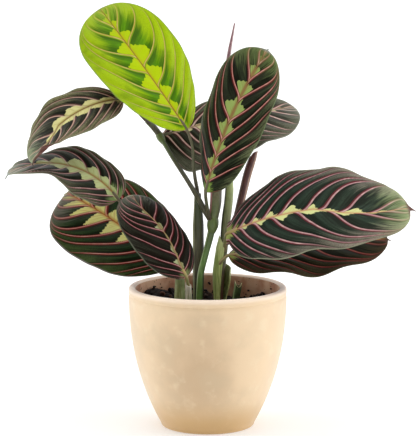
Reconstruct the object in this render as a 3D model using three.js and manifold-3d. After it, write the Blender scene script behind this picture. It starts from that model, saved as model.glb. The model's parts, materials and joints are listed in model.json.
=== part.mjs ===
// Potted prayer plant: a maranta with nine open leaves and two that are still rolled, in a round pot.
// Millimetres, +Z up. The origin is the centre of the pot's flat underside, and the plant is seen
// from the front by looking along +Y, with +X to the right.
import * as THREE from "three";
import { mergeVertices } from "three/addons/utils/BufferGeometryUtils.js";
import Module from "manifold-3d";

const wasm = await Module();
wasm.setup();

// Driving dimensions of the pot and the soil
const POT_HEIGHT = 113.4;
const POT_TOP_RADIUS = 63.6;
const POT_TAPER = 27; // how much narrower the foot is than the top, in radius
const POT_SWELL = 2.35; // exponent of the side's curve from foot to rim
const POT_WALL = 5.7;
const POT_FLOOR = 7;
const FLOOR_FILLET = 3;
const FOOT_ROUND = 2.2;
const RIM_ROUND = 2.4;
const LIP_HEIGHT = 6.5; // band below the rim, set off by a shallow groove
const GROOVE_DEPTH = 0.45;
const ROUND_STEPS = 36; // flats round the pot and the soil
const SOIL_LEVEL = 95.5;
const STALK_FOOT = 84; // height of the buried ends of the stalks

// Thicknesses and clearances
const CLEARANCE = 0.3;
const BLADE_THICK = 0.8;
const SHEATH_THICK = 0.9;
const SHEATH_ROOM = 2.8; // what the soil's hole for the right cane leaves for the open sheath round it
const MIDRIB_DEPTH = 1.1; // how far the rib stands out under the blade at the stalk

// How finely the blades and stalks are faceted
const BLADE_ROWS = 16;
const BLADE_COLUMNS = [-1, -0.72, -0.4, -0.07, 0, 0.07, 0.4, 0.72, 1]; // shares of the half width
const SPINE_STEPS = 60;
const STALK_SIDES = 6;
const CANE_SIDES = 9;

// Share of the blade's length where its rounded body ends and the small drip tip begins
const BODY_END = 0.965;
const TIP_START = 0.9;
const TIP_WIDTH = 0.13;
const LEAST_HALF_WIDTH = 0.5;

const rad = THREE.MathUtils.degToRad;

// A closed geometry as a solid that can be joined and cut
function solid(geometry) {
  const bare = geometry.clone();
  bare.deleteAttribute("normal");
  bare.deleteAttribute("uv");
  const merged = mergeVertices(bare, 1e-4);
  return new wasm.Manifold(
    new wasm.Mesh({
      numProp: 3,
      vertProperties: merged.attributes.position.array,
      triVerts: new Uint32Array(merged.index.array),
    }),
  );
}

function geometryOf(body) {
  const mesh = body.getMesh();
  const geometry = new THREE.BufferGeometry();
  geometry.setAttribute("position", new THREE.BufferAttribute(mesh.vertProperties, 3));
  geometry.setIndex(new THREE.BufferAttribute(mesh.triVerts, 1));
  geometry.computeVertexNormals();
  return geometry;
}

function indexed(points, faces) {
  const geometry = new THREE.BufferGeometry().setFromPoints(points);
  geometry.setIndex(faces);
  return geometry;
}

// Closed skin round a grid of points, both faces split into triangles alike. keel(i, j) is what is
// added to its thickness on the lower side.
function shell(grid, thick, keel = () => 0) {
  const rows = grid.length;
  const columns = grid[0].length;
  const at = (i, j) => grid[Math.min(Math.max(i, 0), rows - 1)][Math.min(Math.max(j, 0), columns - 1)];
  const points = [];
  for (const upper of [true, false]) {
    for (let i = 0; i < rows; i++) {
      for (let j = 0; j < columns; j++) {
        const along = at(i + 1, j).clone().sub(at(i - 1, j));
        const across = at(i, j + 1).clone().sub(at(i, j - 1));
        const normal = across.cross(along).normalize();
        const off = upper ? thick / 2 : -thick / 2 - keel(i, j);
        points.push(at(i, j).clone().addScaledVector(normal, off));
      }
    }
  }
  const lower = rows * columns;
  const id = (i, j) => i * columns + j;
  const faces = [];
  for (let i = 0; i + 1 < rows; i++) {
    for (let j = 0; j + 1 < columns; j++) {
      const [a, b, c, d] = [id(i, j), id(i, j + 1), id(i + 1, j + 1), id(i + 1, j)];
      faces.push(a, b, c, a, c, d);
      faces.push(lower + a, lower + c, lower + b, lower + a, lower + d, lower + c);
    }
  }
  const edge = [];
  for (let j = 0; j < columns; j++) edge.push(id(0, j));
  for (let i = 1; i < rows; i++) edge.push(id(i, columns - 1));
  for (let j = columns - 2; j >= 0; j--) edge.push(id(rows - 1, j));
  for (let i = rows - 2; i > 0; i--) edge.push(id(i, 0));
  edge.forEach((a, k) => {
    const b = edge[(k + 1) % edge.length];
    faces.push(a, lower + a, lower + b, a, lower + b, b);
  });
  return indexed(points, faces);
}

// Round stalk along a smooth line through the points. Radii are spread evenly along it.
function stalk(line, radii, { sides = STALK_SIDES, steps = line.length + 5, grow = 0 } = {}) {
  const curve = new THREE.CatmullRomCurve3(line.map((p) => new THREE.Vector3(...p)));
  const frames = curve.computeFrenetFrames(steps);
  const points = [];
  const faces = [];
  for (let i = 0; i <= steps; i++) {
    const t = i / steps;
    const place = t * (radii.length - 1);
    const below = Math.min(Math.floor(place), radii.length - 2);
    const radius = THREE.MathUtils.lerp(radii[below], radii[below + 1], place - below) + grow;
    const centre = curve.getPointAt(t);
    if (i === 0) centre.addScaledVector(frames.tangents[0], -grow);
    for (let k = 0; k < sides; k++) {
      const angle = (2 * Math.PI * k) / sides;
      const point = centre.clone();
      point.addScaledVector(frames.normals[i], radius * Math.cos(angle));
      point.addScaledVector(frames.binormals[i], radius * Math.sin(angle));
      points.push(point);
    }
  }
  const ring = (i, k) => i * sides + (k % sides);
  for (let i = 0; i < steps; i++) {
    for (let k = 0; k < sides; k++) {
      faces.push(ring(i, k), ring(i, k + 1), ring(i + 1, k + 1));
      faces.push(ring(i, k), ring(i + 1, k + 1), ring(i + 1, k));
    }
  }
  for (let k = 1; k + 1 < sides; k++) {
    faces.push(ring(0, 0), ring(0, k + 1), ring(0, k));
    faces.push(ring(steps, 0), ring(steps, k), ring(steps, k + 1));
  }
  return solid(indexed(points, faces));
}

// The growth ring where a cane or petiole starts: a short swollen piece between two points
function swelling(from, to, radius) {
  const middle = from.map((c, k) => (c + to[k]) / 2);
  return stalk([from, middle, to], [0.62 * radius, radius, radius, 0.62 * radius], {
    sides: CANE_SIDES,
    steps: 6,
  });
}

// Half width of a blade at s (0 at the stalk, 1 at the tip), as a share of the greatest.
// round is the bluntness of its ends, and widest is where along the leaf it is broadest.
function outline(s, round, widest) {
  const t = Math.min(s / BODY_END, 1);
  const u = Math.abs(2 * t ** (Math.log(0.5) / Math.log(widest)) - 1);
  const body = Math.sqrt(Math.max(1 - u ** round, 0));
  const tip = TIP_WIDTH * Math.min((1 - s) / (1 - TIP_START), 1) ** 1.2;
  return Math.max(body, tip);
}

// Stations along the midrib, each with its point and the blade's directions there
function spine(leaf) {
  const stations = [];
  const point = new THREE.Vector3(...leaf.base);
  let last = null;
  for (let i = 0; i <= SPINE_STEPS; i++) {
    const s = i / SPINE_STEPS;
    const rise = rad(leaf.rise + leaf.bend * s);
    const heading = rad(leaf.heading + leaf.veer * s);
    const roll = rad(leaf.roll + leaf.twist * s);
    const along = new THREE.Vector3(
      Math.cos(rise) * Math.cos(heading),
      Math.cos(rise) * Math.sin(heading),
      Math.sin(rise),
    );
    if (last) point.addScaledVector(last.clone().add(along), leaf.length / SPINE_STEPS / 2);
    last = along;
    const level = new THREE.Vector3(Math.sin(heading), -Math.cos(heading), 0);
    const up = level.clone().cross(along);
    const right = level.clone().multiplyScalar(Math.cos(roll)).addScaledVector(up, Math.sin(roll));
    const normal = up.clone().multiplyScalar(Math.cos(roll)).addScaledVector(level, -Math.sin(roll));
    stations.push({ point: point.clone(), along, right, normal });
  }
  return stations;
}

// Point of the blade's middle surface, q from -1 at the left margin to 1 at the right one
function bladePoint(leaf, stations, s, q) {
  const place = s * SPINE_STEPS;
  const i = Math.min(Math.floor(place), SPINE_STEPS - 1);
  const mix = (key) => stations[i][key].clone().lerp(stations[i + 1][key], place - i);
  const side = q < 0 ? 0 : 1;
  const a = Math.abs(q);
  const share = outline(s, leaf.round[side], leaf.widest[side]);
  const half = Math.max(leaf.half[side] * share, LEAST_HALF_WIDTH);
  const arch = rad(leaf.arch[side]);
  const fold = rad(leaf.fold);
  const out = (half * Math.sin(arch * a)) / arch;
  const down = (half * (1 - Math.cos(arch * a))) / arch;
  const ripple = 2 * Math.PI * leaf.waves * s + leaf.phase + (side ? 1.3 : -1.3);
  const wave = leaf.wave * a * a * Math.sin(ripple) * Math.sin(Math.PI * s);
  const x = out * Math.cos(fold) + down * Math.sin(fold);
  const y = out * Math.sin(fold) - down * Math.cos(fold) + wave;
  return mix("point")
    .addScaledVector(mix("right"), side ? x : -x)
    .addScaledVector(mix("normal"), y);
}

function blade(leaf) {
  const stations = spine(leaf);
  const grid = [];
  const along = (i) => 0.5 - 0.5 * Math.cos((Math.PI * i) / BLADE_ROWS);
  for (let i = 0; i <= BLADE_ROWS; i++) {
    grid.push(BLADE_COLUMNS.map((q) => bladePoint(leaf, stations, along(i), q)));
  }
  const keel = (i, j) => (BLADE_COLUMNS[j] === 0 ? MIDRIB_DEPTH * (1 - along(i)) : 0);
  return solid(shell(grid, BLADE_THICK, keel));
}

// The petiole from where it leaves its sheath to a little way under the blade
function petiole(leaf, grow = 0) {
  const stations = spine(leaf);
  const under = stations[4].point.clone().addScaledVector(stations[4].normal, -0.35);
  return stalk([...leaf.petiole, leaf.base, under.toArray()], leaf.petioleRadii, { grow });
}

function leafBody(leaf) {
  return blade(leaf).add(petiole(leaf));
}

// The open leaves. Lengths and half widths are in millimetres and angles in degrees. heading is the
// compass direction from +X towards +Y, rise the slope of the midrib at its base, veer and bend
// their change towards the tip, and roll and twist the turn about the midrib. Pairs are left, right.
const LEAVES = {
  leaf_young: {
    base: [-17, 6, 239.5],
    rise: 55, bend: -16, heading: 159, veer: -26, roll: 15, twist: 25,
    length: 132, half: [39.5, 40.5], arch: [14, 14], fold: 7,
    round: [2.9, 2.1], widest: [0.49, 0.52],
    wave: 0.7, waves: 2.5, phase: 0,
    petiole: [[-7.9, 9.9, 181], [-8.2, 9.7, 189], [-9.8, 9.5, 198], [-11.2, 9, 209], [-12.1, 8, 225]],
    petioleRadii: [1.6, 1.5, 1.35, 1.2, 1.1, 1.5],
  },
  leaf_centre: {
    base: [-1.5, -12, 191.5],
    rise: 74, bend: -28, heading: 31, veer: 11, roll: -9, twist: -39,
    length: 132, half: [30, 29], arch: [44, 39], fold: 7,
    round: [3, 2.9], widest: [0.62, 0.46],
    wave: -1.6, waves: 2.5, phase: 0,
    petiole: [[3, -1, 166], [0.9, -4.5, 172.6], [-0.9, -8, 182]],
    petioleRadii: [1.5, 1.35, 1.3, 1.5],
  },
  leaf_far_left: {
    base: [-68, 16, 262.5],
    rise: 2, bend: -67, heading: 211, veer: -10, roll: 46, twist: -50,
    length: 101, half: [26, 29.5], arch: [14, 14], fold: 7,
    round: [1.8, 2.3], widest: [0.52, 0.62],
    wave: 1.2, waves: 2.2, phase: -0.7,
    petiole: [[-46.7, 34.5, 240.5], [-53.8, 30, 248.3], [-62, 22, 258.5]],
    petioleRadii: [1.6, 1.4, 1.2, 1.3],
  },
  leaf_middle_left: {
    base: [-71.5, 2, 183.5],
    rise: 55, bend: -85, heading: 180, veer: 13, roll: 48, twist: -50,
    length: 103, half: [32, 28], arch: [14, 14], fold: 7,
    round: [1.8, 2.2], widest: [0.42, 0.44],
    wave: 2.4, waves: 2, phase: 1.1,
    petiole: [[-22.5, -6, 115], [-25, -5, 122.5], [-34, -1, 134], [-46, 3, 148], [-62, 6, 170]],
    petioleRadii: [1.7, 1.6, 1.5, 1.4, 1.3, 1.4],
  },
  leaf_lower_left: {
    base: [-29, 14, 126],
    rise: 41, bend: -22, heading: 164, veer: -14, roll: 38, twist: -3,
    length: 115, half: [48, 43], arch: [17, 14], fold: 7,
    round: [2.9, 2.3], widest: [0.59, 0.54],
    wave: -1.1, waves: 2.5, phase: 0,
    petiole: [[-22.8, -2.5, 114], [-23.8, 0.8, 119.5], [-26.3, 8, 123.5]],
    petioleRadii: [1.6, 1.6, 1.5, 1.6],
  },
  leaf_front_left: {
    base: [-17, -22, 125],
    rise: 64, bend: -24, heading: 173, veer: -28, roll: 31, twist: -26,
    length: 83, half: [36, 28], arch: [15, 24], fold: 7,
    round: [2.5, 2.8], widest: [0.55, 0.48],
    wave: -0.3, waves: 2.5, phase: 0,
    petiole: [[-15.2, -18, 112], [-15.6, -19.5, 118.5]],
    petioleRadii: [1.4, 1.3, 1.3, 1.5],
  },
  leaf_right_upper: {
    base: [15.5, -8, 157],
    rise: 27, bend: -35, heading: -43, veer: 57, roll: -59, twist: 32,
    length: 163, half: [43.5, 41.5], arch: [16, 19], fold: 7,
    round: [1.8, 3.4], widest: [0.52, 0.56],
    wave: 3.2, waves: 3.4, phase: 2,
    petiole: [[12.9, 9, 139], [13.7, 4.5, 145], [14.4, -1, 151]],
    petioleRadii: [1.6, 1.5, 1.5, 1.8],
  },
  leaf_right_lower: {
    base: [17, 3, 138],
    rise: 5, bend: 2, heading: 0, veer: 2, roll: -15, twist: -19,
    length: 133, half: [32, 32.5], arch: [25, 30], fold: 7,
    round: [2.6, 2.1], widest: [0.5, 0.45],
    wave: -3.3, waves: 2.5, phase: 5,
    petiole: [[10.5, 8.4, 128.5], [9.8, 5, 130.5], [12.4, 3.2, 134.5]],
    petioleRadii: [1.4, 1.4, 1.3, 1.4],
  },
  leaf_behind: {
    base: [-37, 42, 230],
    rise: 16, bend: -12, heading: 11, veer: 11, roll: -57, twist: 38,
    length: 120, half: [20, 46], arch: [14, 16], fold: 12,
    round: [2.3, 3.6], widest: [0.6, 0.38],
    wave: 4, waves: 2.2, phase: -1.9,
    petiole: [[-38, 37.5, 227.5]],
    petioleRadii: [1.6, 1.5, 1.5],
  },
};

// Canes and sheaths, each a line of points from the soil up
const LEFT_STALK = [
  [-7.4, 11, STALK_FOOT], [-7.4, 11, 124], [-7.5, 11, 149], [-7.6, 10.5, 169], [-8, 9.9, 187],
];
const MIDDLE_CANE = [
  [-7.4, 1.5, STALK_FOOT], [-6.5, 1.5, 110], [-5.3, 1.5, 124.5], [-2, 1, 138], [1.1, 0.5, 150],
  [4, 0, 162],
];
const LOW_NODE = [[3.6, 0.1, 159], [5, 0.4, 171]];
const INTERNODE = [
  [3, 0, 166.5], [-2.9, 1.2, 175.8], [-8.5, 2.6, 186], [-17.4, 10, 199.6], [-27, 20, 213],
  [-38.5, 37, 230],
];
const HIGH_NODE = [[-36.3, 34, 226.3], [-40.5, 38, 233.5]];
const FAR_SHEATH = [[-38.5, 36.5, 230.5], [-43, 37, 236.5], [-49, 34, 243]];
const SPEAR_SHEATH = [[4.3, 0.2, 166], [6.3, 1.5, 179], [6.9, 3.5, 191], [8, 6.5, 210], [9.4, 9.5, 226]];
const RIGHT_CANE = [
  [9.2, 10, STALK_FOOT], [10, 10, 108], [10.8, 10, 123], [12.8, 10, 141], [14.4, 10.2, 161.5],
  [16.8, 11, 181.5], [17.8, 12.2, 197], [18.4, 13.6, 212],
];
const BACK_SHEATH = [[-23, -6, STALK_FOOT], [-22.4, -6, 108], [-22.2, -5.6, 120]];
const FRONT_SHEATH = [[-15, -16, STALK_FOOT], [-15.1, -17, 108], [-15.4, -18.8, 118]];
const STUB = [[22, 23, STALK_FOOT], [22.9, 24.2, 97], [25.1, 25, 111.5]];
const TALL_SPEAR = [
  [9, 8.6, 221], [10.6, 13, 240], [12.4, 19.5, 258], [14.8, 29.5, 280], [17.4, 36.5, 298.5],
  [21.7, 42, 321],
];
const RIGHT_SPEAR = [
  [16.4, 11.8, 152], [21.6, 16.5, 162], [24.5, 18, 171], [27.7, 18, 184.5], [31.7, 19, 201],
  [34.9, 20, 211], [38, 21, 218.5],
];

const round = { sides: CANE_SIDES };
const stalks = {
  left: (grow) => stalk(LEFT_STALK, [4.2, 4.2, 4.2, 4.1, 2.4], { ...round, grow }),
  cane: (grow) => stalk(MIDDLE_CANE, [2.7, 2.7, 2.65, 2.6, 3], { ...round, grow }),
  right: (grow) => stalk(RIGHT_CANE, [3.1, 3.1, 3.2, 3.4, 3.7, 3.4, 0.6], { ...round, grow }),
  back: (grow) => stalk(BACK_SHEATH, [4.3, 4.4, 4.2, 3.7], { ...round, steps: 8, grow }),
  front: (grow) => stalk(FRONT_SHEATH, [2.7, 2.8, 2.7, 2.3], { ...round, steps: 8, grow }),
  stub: (grow) => stalk(STUB, [2.8, 3, 3.1], { ...round, steps: 6, grow }),
};

// A stalk with sockets for the petioles and rolled leaves that stand in it
function socketed(body, guests) {
  return guests.reduce((left, guest) => left.subtract(guest), body);
}

function middleStem() {
  const joined = stalks
    .cane(0)
    .add(swelling(...LOW_NODE, 4.8))
    .add(stalk(INTERNODE, [2.6, 2.2, 1.8, 1.7, 1.7, 1.9]))
    .add(swelling(...HIGH_NODE, 3.3))
    .add(stalk(FAR_SHEATH, [2.6, 2.5, 2.1], { steps: 6 }))
    .add(stalk(SPEAR_SHEATH, [3.6, 4.6, 4.5, 3.9, 2.9], round));
  return socketed(joined, [
    petiole(LEAVES.leaf_centre, CLEARANCE),
    petiole(LEAVES.leaf_far_left, CLEARANCE),
    petiole(LEAVES.leaf_behind, CLEARANCE),
    tallSpear(CLEARANCE),
  ]);
}

const tallSpear = (grow) => stalk(TALL_SPEAR, [1.6, 1.9, 1.8, 1.5, 1.1, 0.45], { grow });
const rightSpear = (grow) => stalk(RIGHT_SPEAR, [1.5, 2.5, 2.7, 2.5, 2, 0.6], { grow });

// The stump of a cut stalk, hollow at the top
function stub() {
  const [, neck, top] = STUB.map((p) => new THREE.Vector3(...p));
  const axis = top.clone().sub(neck).normalize();
  const hollow = [-5, 0, 3].map((d) => top.clone().addScaledVector(axis, d).toArray());
  return stalks.stub(0).subtract(stalk(hollow, [1.6, 2], { sides: 8, steps: 2 }));
}

// The pale open sheath round the right cane: a curved skin, open at the front, with a tall left
// flap that ends in a point and a lower right flap
const FLAP = {
  left: 222, // degrees round from +X where the skin ends at the front left
  right: -28,
  foot: 90, // heights of its buried foot and of its two top corners
  leftTop: 151,
  rightTop: 124,
  point: 9, // how far the left flap's point stands above that, and where it is across the skin
  pointAt: 0.8,
  radius: 4.1, // at the foot
  flare: 2.1,
  rightFlare: 1.6,
  closing: 0.9,
  columns: 10,
  rows: 7,
};

// Centre of the right cane at height z
function caneCentre(z) {
  const above = RIGHT_CANE.findIndex((p) => p[2] > z);
  const [lower, upper] = [RIGHT_CANE[above - 1], RIGHT_CANE[above]];
  const share = (z - lower[2]) / (upper[2] - lower[2]);
  return new THREE.Vector3(...lower).lerp(new THREE.Vector3(...upper), share);
}

function openSheath() {
  const grid = [];
  for (let j = 0; j <= FLAP.columns; j++) {
    const u = j / FLAP.columns;
    const angle = rad(THREE.MathUtils.lerp(FLAP.right, FLAP.left, u));
    const point = FLAP.point * Math.max(0, 1 - Math.abs(u - FLAP.pointAt) / (1 - FLAP.pointAt));
    const top = THREE.MathUtils.lerp(FLAP.rightTop, FLAP.leftTop, u ** 1.6) + point;
    const row = [];
    for (let i = 0; i <= FLAP.rows; i++) {
      const t = i / FLAP.rows;
      const z = THREE.MathUtils.lerp(FLAP.foot, top, t);
      const flare = Math.sin((Math.PI * Math.min(t, 0.8)) / 1.6) ** 2;
      const opening = FLAP.flare + FLAP.rightFlare * (1 - u) ** 2;
      const radius = FLAP.radius + flare * opening - FLAP.closing * Math.max(0, t - 0.7);
      const way = new THREE.Vector3(Math.cos(angle), Math.sin(angle), 0);
      row.push(caneCentre(z).addScaledVector(way, radius));
    }
    grid.push(row);
  }
  return solid(shell(grid, SHEATH_THICK));
}

// Outer radius of the pot at height z, without the lip's groove
function potRadius(z) {
  return POT_TOP_RADIUS - POT_TAPER * (1 - z / POT_HEIGHT) ** POT_SWELL;
}

function arc(cx, cy, radius, from, to, steps) {
  return Array.from({ length: steps + 1 }, (_, i) => {
    const angle = rad(THREE.MathUtils.lerp(from, to, i / steps));
    return new THREE.Vector2(cx + radius * Math.cos(angle), cy + radius * Math.sin(angle));
  });
}

function pot() {
  const foot = potRadius(FOOT_ROUND);
  const lip = POT_HEIGHT - LIP_HEIGHT;
  const inner = POT_TOP_RADIUS - POT_WALL;
  const side = [10, 20, 32, 46, 64, 86, lip - 2];
  const inside = [lip, 84, 62, 44, 30, 18, POT_FLOOR + FLOOR_FILLET];
  const profile = [
    new THREE.Vector2(0, 0),
    ...arc(foot - FOOT_ROUND, FOOT_ROUND, FOOT_ROUND, -90, 0, 3),
    ...side.map((z) => new THREE.Vector2(potRadius(z), z)),
    new THREE.Vector2(potRadius(lip) - GROOVE_DEPTH, lip - 0.8),
    new THREE.Vector2(potRadius(lip) - GROOVE_DEPTH, lip + 0.2),
    new THREE.Vector2(potRadius(lip), lip + 1.2),
    ...arc(POT_TOP_RADIUS - RIM_ROUND, POT_HEIGHT - RIM_ROUND, RIM_ROUND, 0, 90, 3),
    ...arc(inner + RIM_ROUND, POT_HEIGHT - RIM_ROUND, RIM_ROUND, 90, 180, 3),
    ...inside.map((z) => new THREE.Vector2(potRadius(z) - POT_WALL, z)),
    new THREE.Vector2(potRadius(POT_FLOOR) - POT_WALL - FLOOR_FILLET, POT_FLOOR),
    new THREE.Vector2(0, POT_FLOOR),
  ];
  return solid(new THREE.LatheGeometry(profile, ROUND_STEPS).rotateX(Math.PI / 2));
}

// Heaps of soil: centre x and y, spread and height. The soil lies highest at the back left.
const HEAPS = [
  { x: -44, y: 30, spread: 15, height: 10 },
  { x: -30, y: 44, spread: 11, height: 6.5 },
  { x: -50, y: 2, spread: 16, height: 7 },
  { x: -1, y: 36, spread: 5.5, height: 6.5 },
  { x: 44, y: 34, spread: 6, height: 6 },
  { x: -12, y: -2, spread: 22, height: 3.5 },
];
const SOIL_RINGS = 8;
const SOIL_LAYERS = 5;

function soilHeight(x, y) {
  const heaped = HEAPS.map((heap) => {
    const away = (x - heap.x) ** 2 + (y - heap.y) ** 2;
    return heap.height * Math.exp(-away / (2 * heap.spread ** 2));
  });
  const lumps = 1.1 * Math.sin(0.43 * x + 1.1) * Math.cos(0.37 * y) + 0.7 * Math.sin(0.9 * x - 0.8 * y);
  return SOIL_LEVEL + lumps + Math.max(...heaped);
}

function soil() {
  const floor = POT_FLOOR + CLEARANCE;
  const reach = (z) => potRadius(Math.max(z, POT_FLOOR + FLOOR_FILLET)) - POT_WALL - 2 * CLEARANCE;
  const points = [new THREE.Vector3(0, 0, soilHeight(0, 0))];
  const ringStart = [];
  const addRing = (place) => {
    ringStart.push(points.length);
    for (let k = 0; k < ROUND_STEPS; k++) {
      const angle = (2 * Math.PI * k) / ROUND_STEPS;
      points.push(place(Math.cos(angle), Math.sin(angle)));
    }
  };
  for (let i = 1; i <= SOIL_RINGS; i++) {
    const radius = (reach(SOIL_LEVEL) * i) / SOIL_RINGS;
    addRing((c, s) => new THREE.Vector3(radius * c, radius * s, soilHeight(radius * c, radius * s)));
  }
  for (let i = 1; i <= SOIL_LAYERS; i++) {
    addRing((c, s) => {
      const rim = reach(SOIL_LEVEL);
      const z = THREE.MathUtils.lerp(soilHeight(rim * c, rim * s), floor, i / SOIL_LAYERS);
      const radius = i === SOIL_LAYERS ? reach(floor) - FLOOR_FILLET - 1 : Math.min(reach(z), rim);
      return new THREE.Vector3(radius * c, radius * s, z);
    });
  }
  points.push(new THREE.Vector3(0, 0, floor));
  const last = points.length - 1;
  const faces = [];
  for (let k = 0; k < ROUND_STEPS; k++) {
    const next = (k + 1) % ROUND_STEPS;
    faces.push(0, ringStart[0] + k, ringStart[0] + next);
    for (let i = 0; i + 1 < ringStart.length; i++) {
      const [a, b] = [ringStart[i] + k, ringStart[i] + next];
      const [c, d] = [ringStart[i + 1] + next, ringStart[i + 1] + k];
      faces.push(a, d, c, a, c, b);
    }
    const end = ringStart.at(-1);
    faces.push(last, end + next, end + k);
  }
  const holes = ["left", "cane", "back", "front", "stub"].map((name) => stalks[name](CLEARANCE));
  holes.push(stalks.right(SHEATH_ROOM));
  return socketed(solid(indexed(points, faces)), holes);
}

const plant = new THREE.Group();

function add(name, body, look) {
  const { color, roughness } = look;
  const material = new THREE.MeshStandardMaterial({ color, roughness, metalness: 0 });
  const mesh = new THREE.Mesh(geometryOf(body), material);
  mesh.name = name;
  plant.add(mesh);
}

const LOOKS = {
  glaze: { color: 0xe6cda4, roughness: 0.6 },
  soil: { color: 0x2a211b, roughness: 0.95 },
  darkLeaf: { color: 0x27382b, roughness: 0.5 },
  youngLeaf: { color: 0x86ab14, roughness: 0.45 },
  greyLeaf: { color: 0x4b574a, roughness: 0.5 },
  oliveStalk: { color: 0x4c5540, roughness: 0.5 },
  greenCane: { color: 0x4f7a45, roughness: 0.45 },
  paleSheath: { color: 0x97a569, roughness: 0.6 },
  redSpear: { color: 0x5a3a35, roughness: 0.5 },
  mauveSpear: { color: 0x7b5a5f, roughness: 0.5 },
};

add("pot", pot(), LOOKS.glaze);
add("soil", soil(), LOOKS.soil);
add("stem_left", socketed(stalks.left(0), [petiole(LEAVES.leaf_young, CLEARANCE)]), LOOKS.oliveStalk);
add("stem_middle", middleStem(), LOOKS.greenCane);
add(
  "stem_right",
  socketed(stalks.right(0), [
    petiole(LEAVES.leaf_right_upper, CLEARANCE),
    petiole(LEAVES.leaf_right_lower, CLEARANCE),
    rightSpear(CLEARANCE),
  ]),
  LOOKS.oliveStalk,
);
add(
  "sheath_back",
  socketed(stalks.back(0), [
    petiole(LEAVES.leaf_middle_left, CLEARANCE),
    petiole(LEAVES.leaf_lower_left, CLEARANCE),
  ]),
  LOOKS.paleSheath,
);
add(
  "sheath_front",
  socketed(stalks.front(0), [petiole(LEAVES.leaf_front_left, CLEARANCE)]),
  LOOKS.paleSheath,
);
add("sheath_open", openSheath(), LOOKS.paleSheath);
add("stub", stub(), LOOKS.greenCane);
add("spear_tall", tallSpear(0), LOOKS.mauveSpear);
add("spear_right", rightSpear(0), LOOKS.redSpear);

const leafLook = {
  leaf_young: LOOKS.youngLeaf,
  leaf_far_left: LOOKS.greyLeaf,
  leaf_middle_left: LOOKS.greyLeaf,
};
for (const [name, leaf] of Object.entries(LEAVES)) {
  add(name, leafBody(leaf), leafLook[name] ?? LOOKS.darkLeaf);
}

export default plant;
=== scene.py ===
"""Potted prayer plant: nine feathered, red-veined leaves and two rolled ones on sheathed stalks, in
dark potting soil in a round cream pot. Sizes and places are in millimetres and become metres when a
piece is built."""

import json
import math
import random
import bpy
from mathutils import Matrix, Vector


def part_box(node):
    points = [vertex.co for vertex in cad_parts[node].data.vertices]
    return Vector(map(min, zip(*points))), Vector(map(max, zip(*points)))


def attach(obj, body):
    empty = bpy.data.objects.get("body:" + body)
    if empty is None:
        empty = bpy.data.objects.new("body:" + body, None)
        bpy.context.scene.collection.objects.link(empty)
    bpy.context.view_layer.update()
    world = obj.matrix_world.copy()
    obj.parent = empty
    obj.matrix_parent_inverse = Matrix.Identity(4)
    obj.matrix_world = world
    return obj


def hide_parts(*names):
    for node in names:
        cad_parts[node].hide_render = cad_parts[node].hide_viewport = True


bl_info = {
    "name": "Potted Prayer Plant",
    "version": (1, 0, 0),
    "blender": (4, 5, 0),
    "location": "View3D > Sidebar > Prayer Plant",
    "description": "Gives a maranta in its pot its veined leaves, sheathed stalks, soil and glaze",
    "category": "Object",
}

import bpy
import numpy as np
from bpy.props import FloatProperty, FloatVectorProperty, PointerProperty
from mathutils import Vector, noise

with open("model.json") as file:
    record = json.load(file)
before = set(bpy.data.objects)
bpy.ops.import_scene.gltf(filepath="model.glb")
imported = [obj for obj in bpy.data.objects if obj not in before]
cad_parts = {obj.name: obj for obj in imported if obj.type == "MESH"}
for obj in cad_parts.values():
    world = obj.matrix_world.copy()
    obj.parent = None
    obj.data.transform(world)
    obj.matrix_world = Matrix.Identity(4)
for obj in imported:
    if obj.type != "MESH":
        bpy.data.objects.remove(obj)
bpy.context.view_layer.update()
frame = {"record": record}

MM = 0.001
SHARP_ANGLE = 50  # degrees between faces above which an edge stays crisp


def linear(hex_colour):
    """The linear red, green, blue and alpha of an sRGB hex colour."""
    channels = [int(hex_colour[k : k + 2], 16) / 255 for k in (1, 3, 5)]
    return [*(c / 12.92 if c <= 0.04045 else ((c + 0.055) / 1.055) ** 2.4 for c in channels), 1.0]


def every(millimetres):
    """The scale of a pattern that repeats about once in that many millimetres."""
    return 1 / (millimetres * MM)


# The pot's height and width come from the frame. The rest of its shape is the maker's.
POT_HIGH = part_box("pot")[1]
POT_HEIGHT = POT_HIGH.z / MM
POT_TOP_RADIUS = POT_HIGH.x / MM
POT_TAPER = 27  # how much narrower the foot is than the top, in radius
POT_SWELL = 2.35  # exponent of the side's curve from foot to rim
POT_WALL = 5.7
POT_FLOOR = 7
FLOOR_FILLET = 3
FOOT_ROUND = 2.2
RIM_ROUND = 2.4
LIP_HEIGHT = 6.5
GROOVE_DEPTH = 0.8
GROOVE_WIDTH = 1.0
PAINTED_FRONT_SHADE = [-9, -60, 50]  # middle of the tan patch painted on the pot's front as shade
POT_SIDES = 144
SIDE_ROWS = 110  # rings of points up the pot's outside, and those up its inside
WALL_ROWS = 50
AXIS_RADIUS = 0.5  # where the rings of a lathed body end beside its axis
SOIL_LEVEL = 95.5
STALK_FOOT = 84

# What every colour setting has in common
COLOUR = dict(size=4, min=0, max=1, subtype="COLOR")


class PotSettings(bpy.types.PropertyGroup):
    groove: FloatProperty(
        name="Lip groove", description="Depth of the shallow groove that sets off the band at the rim",
        default=GROOVE_DEPTH * MM, min=0, unit="LENGTH",
    )
    glaze: FloatVectorProperty(
        name="Glaze", description="Colour of the matt glaze", default=linear("#EED2AC"), **COLOUR
    )
    inside: FloatVectorProperty(
        name="Inside", description="Colour of the bare inner wall", default=linear("#E6BC9A"), **COLOUR
    )


class SoilSettings(bpy.types.PropertyGroup):
    roughness: FloatProperty(
        name="Crumb height", description="How far the crumbs stand out of the soil's surface",
        default=1.5 * MM, min=0, unit="LENGTH",
    )
    peat: FloatVectorProperty(
        name="Peat", description="Colour of the moist potting soil", default=linear("#2A1D16"), **COLOUR
    )


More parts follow.
